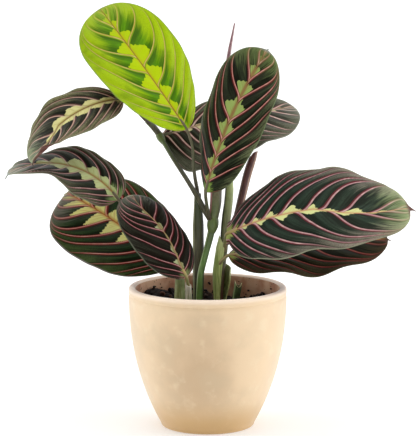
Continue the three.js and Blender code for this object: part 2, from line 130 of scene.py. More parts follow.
class LeafSettings(bpy.types.PropertyGroup):
    thickness: FloatProperty(
        name="Blade thickness", description="Thickness of an open blade beside its midrib",
        default=0.5 * MM, min=0.1 * MM, unit="LENGTH",
    )
    pleat: FloatProperty(
        name="Pleat", description="How far the blade bulges between two side veins",
        default=0.9 * MM, min=0, unit="LENGTH",
    )
    underside: FloatVectorProperty(
        name="Underside", description="Wine red of the blade's lower face", default=linear("#5A2630"),
        **COLOUR,
    )


class StalkSettings(bpy.types.PropertyGroup):
    olive: FloatVectorProperty(
        name="Olive sheath", description="Colour of the thick sheathed stalks",
        default=linear("#454229"), **COLOUR,
    )
    green: FloatVectorProperty(
        name="Green cane", description="Colour of the bare canes", default=linear("#5C8238"), **COLOUR
    )
    pale: FloatVectorProperty(
        name="Pale sheath", description="Colour of the dry pale sheaths", default=linear("#BECB82"),
        **COLOUR,
    )


class StudioSettings(bpy.types.PropertyGroup):
    distance: FloatProperty(
        name="Camera distance", description="From the camera to the middle of the plant",
        default=1.8, min=0.5, unit="LENGTH",
    )
    elevation: FloatProperty(
        name="Camera elevation", description="How far above the level the camera looks down",
        default=math.radians(8.7), unit="ROTATION",
    )
    floor: FloatVectorProperty(
        name="Floor", description="Colour of the pale floor", default=linear("#DDDDDC"), **COLOUR
    )


def smoothstep(low, high, value):
    """0 up to low and 1 from high on, with a soft rise between them."""
    share = np.clip((value - low) / (high - low), 0, 1)
    return share * share * (3 - 2 * share)


class Skin:
    """One piece's surface as it is built up: points in millimetres, faces with the number of their
    material, and for each corner of a face its place in the surface's own pattern."""

    def __init__(self):
        self.points = []
        self.faces = []
        self.slots = []
        self.places = []

    def put(self, points):
        """Adds an array of points and returns their numbers in the same layout."""
        start = len(self.points)
        self.points.extend(points.reshape(-1, 3).tolist())
        return np.arange(start, len(self.points)).reshape(points.shape[:-1])

    def patch(self, ids, places, slot=0, flip=False):
        """Quads between the neighbours in a grid of points."""
        low, high = slice(None, -1), slice(1, None)
        corners = [(low, low), (low, high), (high, high), (high, low)]
        if flip:
            corners.reverse()
        quads = np.stack([ids[c] for c in corners], -1).reshape(-1, 4)
        self.faces.extend(quads.tolist())
        self.places.extend(np.stack([places[c] for c in corners], -2).reshape(-1, 3).tolist())
        self.slots.extend([slot] * len(quads))

    def lid(self, ring, place, slot=0, flip=False):
        """One flat face that closes a ring of points."""
        self.faces.append([int(k) for k in (ring[::-1] if flip else ring)])
        self.places.extend([list(place)] * len(ring))
        self.slots.append(slot)

    def tube(self, points, places, slot=0, bands=()):
        """A closed round body from rings of points, whose last column repeats the first. Bands, if
        there are any, are the slots from the first ring on, each with the ring that it ends before."""
        bands = bands or [(slot, len(points))]
        ids = self.put(points[:, :-1])
        closed = np.hstack([ids, ids[:, :1]])
        first = 0
        for paint, end in bands:
            self.patch(closed[first:end], places[first:end], paint)
            first = end - 1
        self.lid(ids[0], places[0, 0], bands[0][0], flip=True)
        self.lid(ids[-1], places[-1, 0], bands[-1][0])

    def sheet(self, upper, lower, places):
        """A thin closed body's narrow sides, round the four edges of its upper and lower face."""
        first, last = (np.s_[0], True), (np.s_[-1], False)
        left, right = (np.s_[:, 0], False), (np.s_[:, -1], True)
        for edge, flip in (first, last, left, right):
            ids = np.stack([upper[edge], lower[edge]])
            self.patch(ids, np.stack([places[edge]] * 2), flip=flip)

    def build(self, name, materials, slot, *nodes):
        """The Blender object, riding on the root and standing for the CAD nodes."""
        mesh = bpy.data.meshes.new(name)
        mesh.from_pydata((np.array(self.points) * MM).tolist(), [], self.faces)
        pattern = mesh.attributes.new("pattern", "FLOAT_VECTOR", "CORNER")
        pattern.data.foreach_set("vector", np.array(self.places, np.float32).ravel())
        for material in materials:
            mesh.materials.append(material)
        mesh.polygons.foreach_set("material_index", self.slots)
        mesh.polygons.foreach_set("use_smooth", [True] * len(self.faces))
        mesh.set_sharp_from_angle(angle=math.radians(SHARP_ANGLE))
        mesh.update()
        piece = bpy.data.objects.new(name, mesh)
        bpy.context.scene.collection.objects.link(piece)
        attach(piece, "root")
        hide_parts(*nodes)
        return piece


def facing(middle):
    """The direction in which each point of a curved sheet faces."""
    normal = np.cross(np.gradient(middle, axis=1), np.gradient(middle, axis=0))
    return normal / np.linalg.norm(normal, axis=-1)[..., None]


SPAN_SAMPLES = 24  # points on a smooth line from each given one to the next, before they are spaced out
LEAST_STEPS = 6


def smooth_line(points, step):
    """Points about a step apart on the smooth line through the given ones, and their distances
    along it."""
    points = [np.array(p, float) for p in points]
    run = [2 * points[0] - points[1], *points, 2 * points[-1] - points[-2]]
    t = np.linspace(0, 1, SPAN_SAMPLES, endpoint=False)[:, None]
    dense = []
    for a, b, c, d in zip(run, run[1:], run[2:], run[3:]):
        g0, g1, g2 = (np.linalg.norm(q - p) ** 0.5 for p, q in ((a, b), (b, c), (c, d)))
        leave = g1 * ((b - a) / g0 - (c - a) / (g0 + g1) + (c - b) / g1)
        arrive = g1 * ((c - b) / g1 - (d - b) / (g1 + g2) + (d - c) / g2)
        cubic = 2 * b - 2 * c + leave + arrive
        square = -3 * b + 3 * c - 2 * leave - arrive
        dense.append(b + leave * t + square * t**2 + cubic * t**3)
    dense = np.vstack([*dense, points[-1]])
    walked = np.concatenate([[0], np.cumsum(np.linalg.norm(np.diff(dense, axis=0), axis=1))])
    at = np.linspace(0, walked[-1], max(int(walked[-1] / step), LEAST_STEPS) + 1)
    return np.stack([np.interp(at, walked, dense[:, k]) for k in range(3)], -1), at


STALK_STEP = 1.2
STALK_SIDES = 28
PETIOLE_SIDES = 18
FRONT = np.array([0.0, -1.0, 0.0])
SLANT_RUN = 5  # millimetres before a cut end over which its slant sets in
TIP_BENDS = np.linspace(0, np.pi / 2, 7)[1:-1, None]  # angles of the rings on a rounded tip
CUP_RADII = np.array([0.76, 0.68, 0.64])  # the rings of a cup in a stalk's end, as shares of its radius
CUP_DEPTHS = np.array([[0.0], [0.25], [1.0]])  # and of the cup's depth


def rings(line, radii, section=None, tip=0.0, mouth=0.0, slant=(0, 0), split=0.0, sides=STALK_SIDES):
    """Rings of points round a smooth line, first at its foot, and their places in the pattern: share
    of the way round from the front, millimetres and share along. section(round, along) shapes a
    ring, tip rounds off the far end by that length, mouth sinks a cup of that depth into it, and
    slant says how steeply the end is cut, rising towards the right and the back. split tears it into
    two prongs that rise by that much at its sides."""
    centres, walked = smooth_line(line, STALK_STEP)
    share = walked / walked[-1]
    radius = np.interp(share, np.linspace(0, 1, len(radii)), radii)
    tangents = np.gradient(centres, axis=0)
    tangents /= np.linalg.norm(tangents, axis=1)[:, None]
    fronts = [FRONT]
    for tangent in tangents:
        front = fronts[-1] - fronts[-1].dot(tangent) * tangent
        fronts.append(front / np.linalg.norm(front))
    fronts = np.array(fronts[1:])
    if tip:
        centres = np.vstack([centres, centres[-1] + tip * np.sin(TIP_BENDS) * tangents[-1]])
        radius = np.concatenate([radius, radius[-1] * np.cos(TIP_BENDS[:, 0])])
    if mouth:
        centres = np.vstack([centres, centres[-1] - mouth * CUP_DEPTHS * tangents[-1]])
        radius = np.concatenate([radius, radius[-1] * CUP_RADII])
    extra = len(centres) - len(fronts)
    fronts, tangents, share, walked = (
        np.concatenate([rows, np.repeat(rows[-1:], extra, 0)])
        for rows in (fronts, tangents, share, walked)
    )
    turn = np.linspace(0, 1, sides + 1)
    shape = section(turn[None], share[:, None]) if section else np.ones((len(centres), sides + 1))
    rights = np.cross(tangents, fronts)
    way = (
        np.cos(2 * np.pi * turn)[None, :, None] * fronts[:, None]
        + np.sin(2 * np.pi * turn)[None, :, None] * rights[:, None]
    )
    points = centres[:, None] + (radius[:, None] * shape)[..., None] * way
    offset = points - centres[:, None]
    near_end = smoothstep(walked[-1] - SLANT_RUN, walked[-1], walked)[:, None]
    points[..., 2] += near_end * (slant[0] * offset[..., 0] + slant[1] * offset[..., 1])
    points[..., 2] -= near_end * split * np.cos(4 * np.pi * turn)
    places = np.stack(np.broadcast_arrays(turn[None], walked[:, None], share[:, None]), -1)
    return points, places


def grow(name, material, slot, node, line, radii, section=None, **ends):
    """The piece that one stalk, sheath or rolled leaf makes, of one material."""
    skin = Skin()
    skin.tube(*rings(line, radii, section, **ends))
    skin.build(name, [material], slot, node)


# The inputs of a mix node that blends two colours
SHARE, FIRST, SECOND = 0, 6, 7


def feed(tree, node, inputs):
    """Gives a node's inputs, by name or number, their values, colours among them as hex values, or
    links them to an output or to the output in use of another node."""
    for key, value in inputs.items():
        if isinstance(value, str):
            value = linear(value)
        if isinstance(value, bpy.types.Node):
            value = next(output for output in value.outputs if output.enabled)
        if isinstance(value, bpy.types.NodeSocket):
            tree.links.new(value, node.inputs[key])
        else:
            node.inputs[key].default_value = value


def add_node(tree, kind, inputs=None, **settings):
    """Adds a shader node with its settings, its inputs' values and its links."""
    node = tree.nodes.new("ShaderNode" + kind)
    for name, value in settings.items():
        setattr(node, name, value)
    feed(tree, node, inputs or {})
    return node


def new_material(name, **finish):
    """A material with its one shader, whose sockets take the finish that is the same all over."""
    material = bpy.data.materials.new(name)
    material.use_nodes = True
    tree = material.node_tree
    shader = tree.nodes["Principled BSDF"]
    feed(tree, shader, {socket.replace("_", " "): value for socket, value in finish.items()})
    return material, tree, shader


def lay_over(tree, colour, *coats):
    """Lays coats of colour over one another. Each is a colour, a value, what that is where nothing of
    the coat shows and where it shows in full, and how much shows there, if not all of it."""
    for paint, value, bare, full, *most in coats:
        share = add_node(
            tree, "MapRange",
            {"Value": value, "From Min": bare, "From Max": full, "To Max": most[0] if most else 1.0},
            interpolation_type="SMOOTHSTEP",
        )
        colour = add_node(tree, "Mix", {SHARE: share, FIRST: colour, SECOND: paint}, data_type="RGBA")
    return colour


def set_surface(tree, shader, colour, relief, strength, depth):
    """Gives a shader its colour, and a bump whose depth in millimetres is that of its relief."""
    bump = add_node(tree, "Bump", {"Strength": strength, "Distance": depth * MM, "Height": relief})
    feed(tree, shader, {"Base Color": colour, "Normal": bump})


def own_places(tree):
    """Outputs with a point's place in space, its place in the piece's own pattern, and the three parts
    of that."""
    place = add_node(tree, "TexCoord").outputs["Object"]
    pattern = add_node(tree, "Attribute", attribute_name="pattern").outputs["Vector"]
    return place, pattern, *add_node(tree, "SeparateXYZ", {0: pattern}).outputs


def fibres_along(tree, place, width, length, detail=3.0):
    """Upright fibres of that width and length in millimetres. Real ones are about 0.1 mm wide, too fine
    to show, so they are drawn several times as coarse."""
    stretch = (every(width), every(width), every(length))
    drawn = add_node(tree, "VectorMath", {0: place, 1: stretch}, operation="MULTIPLY")
    return add_node(tree, "TexNoise", {"Vector": drawn, "Scale": 1.0, "Detail": detail})


def away_from(tree, turn, line):
    """How far round the piece a point lies from a line along it, as a share of the way round."""
    past = add_node(tree, "Math", {0: turn, 1: line}, operation="SUBTRACT")
    return add_node(tree, "Math", {0: past}, operation="ABSOLUTE")


# The pot


def pot_radius(z):
    """The pot's outer radius at a height."""
    return POT_TOP_RADIUS - POT_TAPER * (1 - np.minimum(z / POT_HEIGHT, 1)) ** POT_SWELL


def glaze_material(settings):
    """Stoneware with a matt glaze: cream with faint tan clouds and a broad ragged tan patch painted
    on the front as shade, warmer at the foot, lighter and pinker on the rim as a painted highlight on
    its top, and a fine orange-peel bump under its soft shine."""
    material, tree, shader = new_material("Matt Cream Glaze", Roughness=0.48, IOR=1.5, Sheen_Weight=0.3)
    place = add_node(tree, "TexCoord").outputs["Object"]
    height = add_node(tree, "SeparateXYZ", {0: place}).outputs[2]
    cloud = add_node(tree, "TexNoise", {"Vector": place, "Scale": every(30), "Detail": 4.0})
    patch = add_node(tree, "TexNoise", {"Vector": place, "Scale": every(10), "Detail": 5.0})
    peel = add_node(tree, "TexNoise", {"Vector": place, "Scale": every(1.2), "Detail": 2.0})
    # Painted shade: a broad ragged tan patch on the pot's front
    middle = tuple(v * MM for v in PAINTED_FRONT_SHADE)
    offset = add_node(tree, "VectorMath", {0: place, 1: middle}, operation="SUBTRACT")
    squashed = add_node(tree, "VectorMath", {0: offset, 1: (1.3, 1, 0.75)}, operation="MULTIPLY")
    away = add_node(tree, "VectorMath", {0: squashed}, operation="LENGTH").outputs["Value"]
    ragged = add_node(tree, "Math", {0: cloud, 1: -0.06, 2: away}, operation="MULTIPLY_ADD")
    colour = lay_over(
        tree, list(settings.glaze),
        ("#CDAE88", ragged, 32 * MM, -22 * MM, 0.8),
        ("#D9C4A2", cloud, 0.42, 0.75, 0.45),
        ("#F3E0BE", patch, 0.52, 0.75, 0.4),
        ("#CFA668", height, 32 * MM, 6 * MM, 0.8),
    )
    # Painted highlight: the top few millimetres of the rim lighter and pinker
    rim = POT_HEIGHT * MM
    colour = lay_over(tree, colour, ("#FFEAD4", height, rim - 4.5 * MM, rim - 1 * MM, 0.9))
    set_surface(tree, shader, colour, relief=peel, strength=0.12, depth=0.4)
    return material


def inner_wall_material(settings):
    """Bare earthenware inside the pot: dull and pinkish brown with darker blotches, painted darker lower
    down as shade deep inside the pot, and with splashes of peat."""
    material, tree, shader = new_material("Earthenware With Painted Shade", Roughness=0.75, IOR=1.5)
    place = add_node(tree, "TexCoord").outputs["Object"]
    height = add_node(tree, "SeparateXYZ", {0: place}).outputs[2]
    stain = add_node(tree, "TexNoise", {"Vector": place, "Scale": every(12), "Detail": 5.0})
    specks = add_node(tree, "TexNoise", {"Vector": place, "Scale": every(2.2), "Detail": 3.0})
    colour = lay_over(
        tree, list(settings.inside),
        ("#C68C6E", stain, 0.4, 0.7),
        # Painted shade: darker from the rim down towards the soil
        ("#8A6350", height, POT_HEIGHT * MM, SOIL_LEVEL * MM, 0.4),
        ("#3A2419", specks, 0.66, 0.7),
    )
    set_surface(tree, shader, colour, relief=specks, strength=0.3, depth=0.4)
    return material


def arc(across, up, radius, first, last, steps=10):
    """Points of an arc between two angles in degrees, as distance from the axis and height."""
    angles = np.radians(np.linspace(first, last, steps))
    return np.stack([across + radius * np.cos(angles), up + radius * np.sin(angles)], -1)


def lathe(profile):
    """Rings round the pot's axis for each point of a profile, and their places."""
    turn = np.linspace(0, 1, POT_SIDES + 1)
    way = np.stack([np.cos(2 * np.pi * turn), np.sin(2 * np.pi * turn), 0 * turn], -1)
    points = profile[:, None, :1] * way[None]
    points[..., 2] = profile[:, 1:]
    places = np.stack(np.broadcast_arrays(turn[None], profile[:, :1], profile[:, 1:]), -1)
    return points, places


class PRAYERPLANT_OT_pot(bpy.types.Operator):
    """Turn the pot with its rim band and glaze it"""

    bl_idname = "prayer_plant.pot"
    bl_label = "Turn Pot"

    def execute(self, context):
        settings = context.scene.prayer_plant_pot
        lip = POT_HEIGHT - LIP_HEIGHT
        foot = pot_radius(FOOT_ROUND) - FOOT_ROUND
        inner = POT_TOP_RADIUS - POT_WALL
        side = np.linspace(FOOT_ROUND + 1, POT_HEIGHT - RIM_ROUND, SIDE_ROWS)
        groove = settings.groove / MM * np.exp(-(((side - lip) / GROOVE_WIDTH) ** 2))
        inside = np.linspace(POT_HEIGHT - RIM_ROUND - 1, POT_FLOOR + FLOOR_FILLET, WALL_ROWS)
        bed = pot_radius(POT_FLOOR + FLOOR_FILLET) - POT_WALL - FLOOR_FILLET
        outside = np.vstack(
            [
                [[AXIS_RADIUS, 0]],
                arc(foot, FOOT_ROUND, FOOT_ROUND, -90, 0),
                np.stack([pot_radius(side) - groove, side], -1),
                arc(POT_TOP_RADIUS - RIM_ROUND, POT_HEIGHT - RIM_ROUND, RIM_ROUND, 10, 90),
                arc(inner + RIM_ROUND, POT_HEIGHT - RIM_ROUND, RIM_ROUND, 95, 160),
            ]
        )
        inside = np.vstack(
            [
                arc(inner + RIM_ROUND, POT_HEIGHT - RIM_ROUND, RIM_ROUND, 160, 180, 4),
                np.stack([pot_radius(inside) - POT_WALL, inside], -1),
                arc(bed, POT_FLOOR + FLOOR_FILLET, FLOOR_FILLET, 0, -90, 6),
                [[AXIS_RADIUS, POT_FLOOR]],
            ]
        )
        profile = np.vstack([outside, inside[1:]])
        skin = Skin()
        skin.tube(*lathe(profile), bands=[(0, len(outside)), (1, len(profile))])
        materials = [glaze_material(settings), inner_wall_material(settings)]
        skin.build("glazed_pot", materials, "pot", "pot")
        return {"FINISHED"}


# The soil

# Its low heaps, and lumps on top of them
HEAPS = [
    dict(x=-44, y=30, spread=15, height=10),
    dict(x=-30, y=44, spread=11, height=6.5),
    dict(x=-50, y=2, spread=16, height=7),
    dict(x=-1, y=36, spread=5.5, height=6.5),
    dict(x=44, y=34, spread=6, height=6),
    dict(x=-12, y=-2, spread=22, height=3.5),
]
SOIL_GAP = 0.6  # between the soil and the pot's wall
SOIL_RINGS = 90
SOIL_SIDE_ROWS = 12
SOFT_LUMPS = 1.1  # how high the soil's broad and its narrow lumps are
NARROW_LUMPS = 0.7
CRUMB_SIZE = 3.2
CRUMB_LAYERS = (0.7, 2.1, 4)  # roughness, step in size and number of the noise's layers
CLODS = 330
CLODS_WITHIN = 0.97  # share of the soil's radius within which they lie
CLOD_RISE = 0.25  # how far their middles stand above the soil, as a share of their radius
SMALL_CLODS = (0.7, 1.5)  # their least and greatest radius
LARGE_CLODS = (1.5, 3.0)
SMALL_SHARE = 0.7
BARK_SHARE = 0.2
GRIT_SHARE = 0.035
PEAT, BARK, GRIT = 0, 1, 2  # slots of the soil's materials
WALL_CRUMBS = 46  # bits that stick to the pot's wall above the soil
CRUMB_RADII = (0.35, 0.95)
CRUMB_CLIMB = 5  # how high up the wall they usually stick
CLOD_LUMPS = 0.55  # how uneven a clod is, as a share of its radius
CLOD_SEED = 11


def soil_height(x, y):
    """The height of the soil's surface, without its crumbs."""
    heaps = [
        h["height"] * np.exp(-((x - h["x"]) ** 2 + (y - h["y"]) ** 2) / (2 * h["spread"] ** 2))
        for h in HEAPS
    ]
    lumps = SOFT_LUMPS * np.sin(0.43 * x + 1.1) * np.cos(0.37 * y)
    lumps = lumps + NARROW_LUMPS * np.sin(0.9 * x - 0.8 * y)
    return SOIL_LEVEL + lumps + np.max(heaps, axis=0)


def crumbs(points, size, height):
    """How far the soil's crumbs raise each point, from layered noise of that size."""
    raised = [height * noise.fractal(Vector(p) / size, *CRUMB_LAYERS) for p in points.reshape(-1, 3)]
    return np.array(raised).reshape(points.shape[:-1])


def clod(draw, centre, size, squash):
    """A lumpy closed crumb with a random outline."""
    rows, columns = 7, 10
    up = np.linspace(-np.pi / 2, np.pi / 2, rows + 2)[1:-1, None]
    turn = np.linspace(0, 2 * np.pi, columns + 1)[None]
    way = np.stack([np.cos(up) * np.cos(turn), np.cos(up) * np.sin(turn), np.sin(up) + 0 * turn], -1)
    seed = Vector([draw.uniform(0, 50) for _ in range(3)])
    lumps = np.array([noise.noise(Vector(w) * 1.4 + seed) for w in way.reshape(-1, 3)])
    radius = size * (1 + CLOD_LUMPS * lumps.reshape(way.shape[:2]))
    points = way * radius[..., None] * np.array(squash)
    spin = draw.uniform(0, math.tau)
    cos, sin = math.cos(spin), math.sin(spin)
    turned = points @ np.array([[cos, sin, 0], [-sin, cos, 0], [0, 0, 1]])
    return turned + centre, np.broadcast_to([draw.random(), size, 0.5], way.shape)


def peat_material(settings):
    """Moist peat potting soil: near black in its hollows, painted shade there, and dark brown on its
    crumbs, with no shine."""
    material, tree, shader = new_material("Moist Peat", Roughness=0.9, IOR=1.45)
    place = add_node(tree, "TexCoord").outputs["Object"]
    crumb = add_node(tree, "TexNoise", {"Vector": place, "Scale": every(1.6), "Detail": 6.0})
    patch = add_node(tree, "TexNoise", {"Vector": place, "Scale": every(9), "Detail": 3.0})
    # Painted shade: near black where the crumb noise, which also makes the bump, sinks into hollows
    colour = lay_over(
        tree, "#140D0A",
        (list(settings.peat), crumb, 0.4, 0.68),
        ("#4A3123", patch, 0.52, 0.72, 0.5),
    )
    set_surface(tree, shader, colour, relief=crumb, strength=0.8, depth=0.8)
    return material


def bark_material():
    """Chips of composted bark: reddish brown, fibrous along their length and dull."""
    material, tree, shader = new_material("Composted Bark", Roughness=0.8, IOR=1.45)
    place = add_node(tree, "TexCoord").outputs["Object"]
    fibre = add_node(tree, "TexNoise", {"Vector": place, "Scale": every(1.2), "Detail": 5.0})
    colour = lay_over(tree, "#3B2216", ("#7A4E35", fibre, 0.35, 0.65))
    set_surface(tree, shader, colour, relief=fibre, strength=0.6, depth=0.5)
    return material


def grit_material():
    """Pale grey-green grit and perlite: chalky, with a faint dusting of peat."""
    material, tree, shader = new_material("Dusty Grit", Roughness=0.85, IOR=1.5)
    place = add_node(tree, "TexCoord").outputs["Object"]
    dust = add_node(tree, "TexNoise", {"Vector": place, "Scale": every(1.5), "Detail": 4.0})
    colour = lay_over(tree, "#9DA08C", ("#5A5344", dust, 0.45, 0.7))
    feed(tree, shader, {"Base Color": colour})
    return material


class PRAYERPLANT_OT_soil(bpy.types.Operator):
    """Fill the pot with crumbly potting soil"""

    bl_idname = "prayer_plant.soil"
    bl_label = "Fill Soil"

    def execute(self, context):
        settings = context.scene.prayer_plant_soil
        height = settings.roughness / MM
        rim = pot_radius(SOIL_LEVEL) - POT_WALL - SOIL_GAP
        floor = POT_FLOOR + SOIL_GAP / 2
        wall = np.linspace(POT_FLOOR + FLOOR_FILLET + 1, SOIL_LEVEL - 6, SOIL_SIDE_ROWS)
        base = pot_radius(wall[0]) - POT_WALL - SOIL_GAP - FLOOR_FILLET - 1
        sides = np.stack([pot_radius(wall) - POT_WALL - SOIL_GAP, wall], -1)
        top = np.stack([np.linspace(rim, AXIS_RADIUS, SOIL_RINGS), np.full(SOIL_RINGS, SOIL_LEVEL)], -1)
        profile = np.vstack([[[AXIS_RADIUS, floor], [base, floor]], sides, top])
        points, places = lathe(profile)
        crown = points[-SOIL_RINGS:]
        crown[..., 2] = soil_height(crown[..., 0], crown[..., 1]) - height / 2
        crown[..., 2] += crumbs(crown, CRUMB_SIZE, height)
        crown[:, -1] = crown[:, 0]
        skin = Skin()
        skin.tube(points, places)
        draw = random.Random(CLOD_SEED)
        for _ in range(CLODS):
            away = rim * math.sqrt(draw.random()) * CLODS_WITHIN
            angle = draw.uniform(0, math.tau)
            x, y = away * math.cos(angle), away * math.sin(angle)
            size = draw.uniform(*(SMALL_CLODS if draw.random() < SMALL_SHARE else LARGE_CLODS))
            size = min(size, (rim - away) / 1.6 + 0.4)  # beside the wall only small ones fit
            kind = draw.random()
            squash = [1.0, draw.uniform(0.35, 1), draw.uniform(0.35, 0.8)]
            slot = BARK if kind > 1 - BARK_SHARE else GRIT if kind < GRIT_SHARE else PEAT
            z = float(soil_height(x, y)) + CLOD_RISE * size
            skin.tube(*clod(draw, np.array([x, y, z]), size, squash), slot)
        for _ in range(WALL_CRUMBS):
            angle = draw.uniform(-0.2, math.pi + 0.2)
            z = SOIL_LEVEL + abs(draw.gauss(0, CRUMB_CLIMB)) + 2
            size = draw.uniform(*CRUMB_RADII)
            away = float(pot_radius(z)) - POT_WALL - 0.75 * size
            centre = np.array([away * math.cos(angle), away * math.sin(angle), z])
            if z < POT_HEIGHT - RIM_ROUND - 1:
                skin.tube(*clod(draw, centre, size, [1, 1, 0.8]))
        materials = [peat_material(settings), bark_material(), grit_material()]
        skin.build("potting_soil", materials, "soil", "soil")
        return {"FINISHED"}


# The stalks, as lines through their middles from foot to top

LEFT_STALK = [
    [-7.4, 11, STALK_FOOT], [-7.4, 11, 124], [-7.5, 11, 149], [-7.6, 10.5, 169], [-8, 9.9, 187],
]
MIDDLE_CANE = [
    [-7.4, 1.5, STALK_FOOT], [-6.5, 1.5, 110], [-5.3, 1.5, 124.5], [-2, 1, 138], [1.1, 0.5, 150],
    [4, 0, 162],
]
LOW_NODE = [[3.2, 0, 157], [4.3, 0.25, 165], [5.4, 0.5, 173]]
INTERNODE = [
    [3, 0, 166.5], [-2.9, 1.2, 175.8], [-8.5, 2.6, 186], [-17.4, 10, 199.6], [-27, 20, 213],
    [-38.5, 37, 230],
]
HIGH_NODE = [[-35.6, 33.2, 225], [-38.4, 36, 229.9], [-41.2, 38.8, 234.8]]
FAR_SHEATH = [[-38.5, 36.5, 230.5], [-43, 37, 236.5], [-49, 34, 243]]
SPEAR_SHEATH = [[4.3, 0.2, 166], [6.3, 1.5, 179], [6.9, 3.5, 191], [8, 6.5, 210], [9.4, 9.5, 226]]
RIGHT_CANE = [
    [9.2, 10, STALK_FOOT], [10, 10, 108], [10.8, 10, 123], [12.8, 10, 141], [14.4, 10.2, 161.5],
    [16.8, 11, 181.5], [17.8, 12.2, 197], [18.4, 13.6, 212],
]
BACK_SHEATH = [[-23, -6, STALK_FOOT], [-22.4, -6, 108], [-22.2, -5.6, 120]]
FRONT_SHEATH = [[-15, -16, STALK_FOOT], [-15.1, -17, 108], [-15.4, -18.8, 118]]
STUB = [[22, 23, STALK_FOOT], [22.9, 24.2, 97], [25.1, 25, 110.5]]
TALL_SPEAR = [
    [9, 8.6, 221], [10.6, 13, 240], [12.4, 19.5, 258], [14.8, 29.5, 280], [17.4, 36.5, 298.5],
    [21.7, 42, 321],
]
RIGHT_SPEAR = [
    [16.4, 11.8, 152], [21.6, 16.5, 162], [24.5, 18, 171], [27.7, 18, 184.5], [31.7, 19, 201],
    [34.9, 20, 211], [38, 21, 218.5],
]

WRAP_STEP = 0.09  # the step at a sheath's outer edge, as a share of the radius
WRAP_WIDTH = 0.05  # and how fast it falls off, as a share of the way round
WRAP_EDGE = 0.012  # and how wide the edge's own rise is
WRAP_SINK = 0.1  # how far the whole section is drawn in, as a share of the step
WRAP_WANDER = 0.04  # how far the edge wanders to either side, also as a share of the way round
PAINTED_SHADE_SIDE = 0.21  # share of the way round a stalk, from the front, at which its right side and its painted shade lie


def wrapped(edge, ribs=0, rib_height=0.0):
    """A sheath's section: where its outer edge lies over the layer below there is a small step, edge
    being its share of the way round, and fine ribs run along it."""

    def section(turn, along):
        behind = (turn - edge + WRAP_WANDER * np.sin(5 * along)) % 1
        step = WRAP_STEP * np.exp(-behind / WRAP_WIDTH) * smoothstep(0, WRAP_EDGE, behind)
        return 1 + step + rib_height * np.cos(2 * np.pi * ribs * turn) - WRAP_STEP * WRAP_SINK

    return section


def stalk_material(
    name, body, streak, edge, edge_at, edge_width=0.05, top=None, foot=None, far=None, roughness=0.42
):
    """Fresh stalk tissue: fine lengthwise fibres, a thin membrane edge where one layer lies over
    another, which where it is pale is also a painted highlight, and a soft waxy shine. top and foot are
    colours that it turns to at its ends, and far the painted shade on its right side."""
    material, tree, shader = new_material(name, Roughness=roughness, IOR=1.45)
    place, _, turn, _, along = own_places(tree)
    fibres = fibres_along(tree, place, 0.5, 12)
    blotch = add_node(tree, "TexNoise", {"Vector": place, "Scale": every(7), "Detail": 3.0})
    colour = lay_over(tree, body, (streak, fibres, 0.4, 0.68))
    if top:
        colour = lay_over(tree, colour, (top, along, 0.55, 0.95))
    if foot:
        colour = lay_over(tree, colour, (foot, along, 0.45, 0.1))
    colour = lay_over(tree, colour, ("#3A4230", blotch, 0.45, 0.75, 0.35))
    # Painted shade on the stalk's right side
    if far:
        colour = lay_over(tree, colour, (far, away_from(tree, turn, PAINTED_SHADE_SIDE), 0.16, 0.04, 0.85))
    # A thin membrane edge; where it is pale, it is also a painted highlight
    beside = away_from(tree, turn, edge_at)
    colour = lay_over(tree, colour, (edge, beside, edge_width, edge_width * 0.4))
    set_surface(tree, shader, colour, relief=fibres, strength=0.35, depth=0.3)
    return material


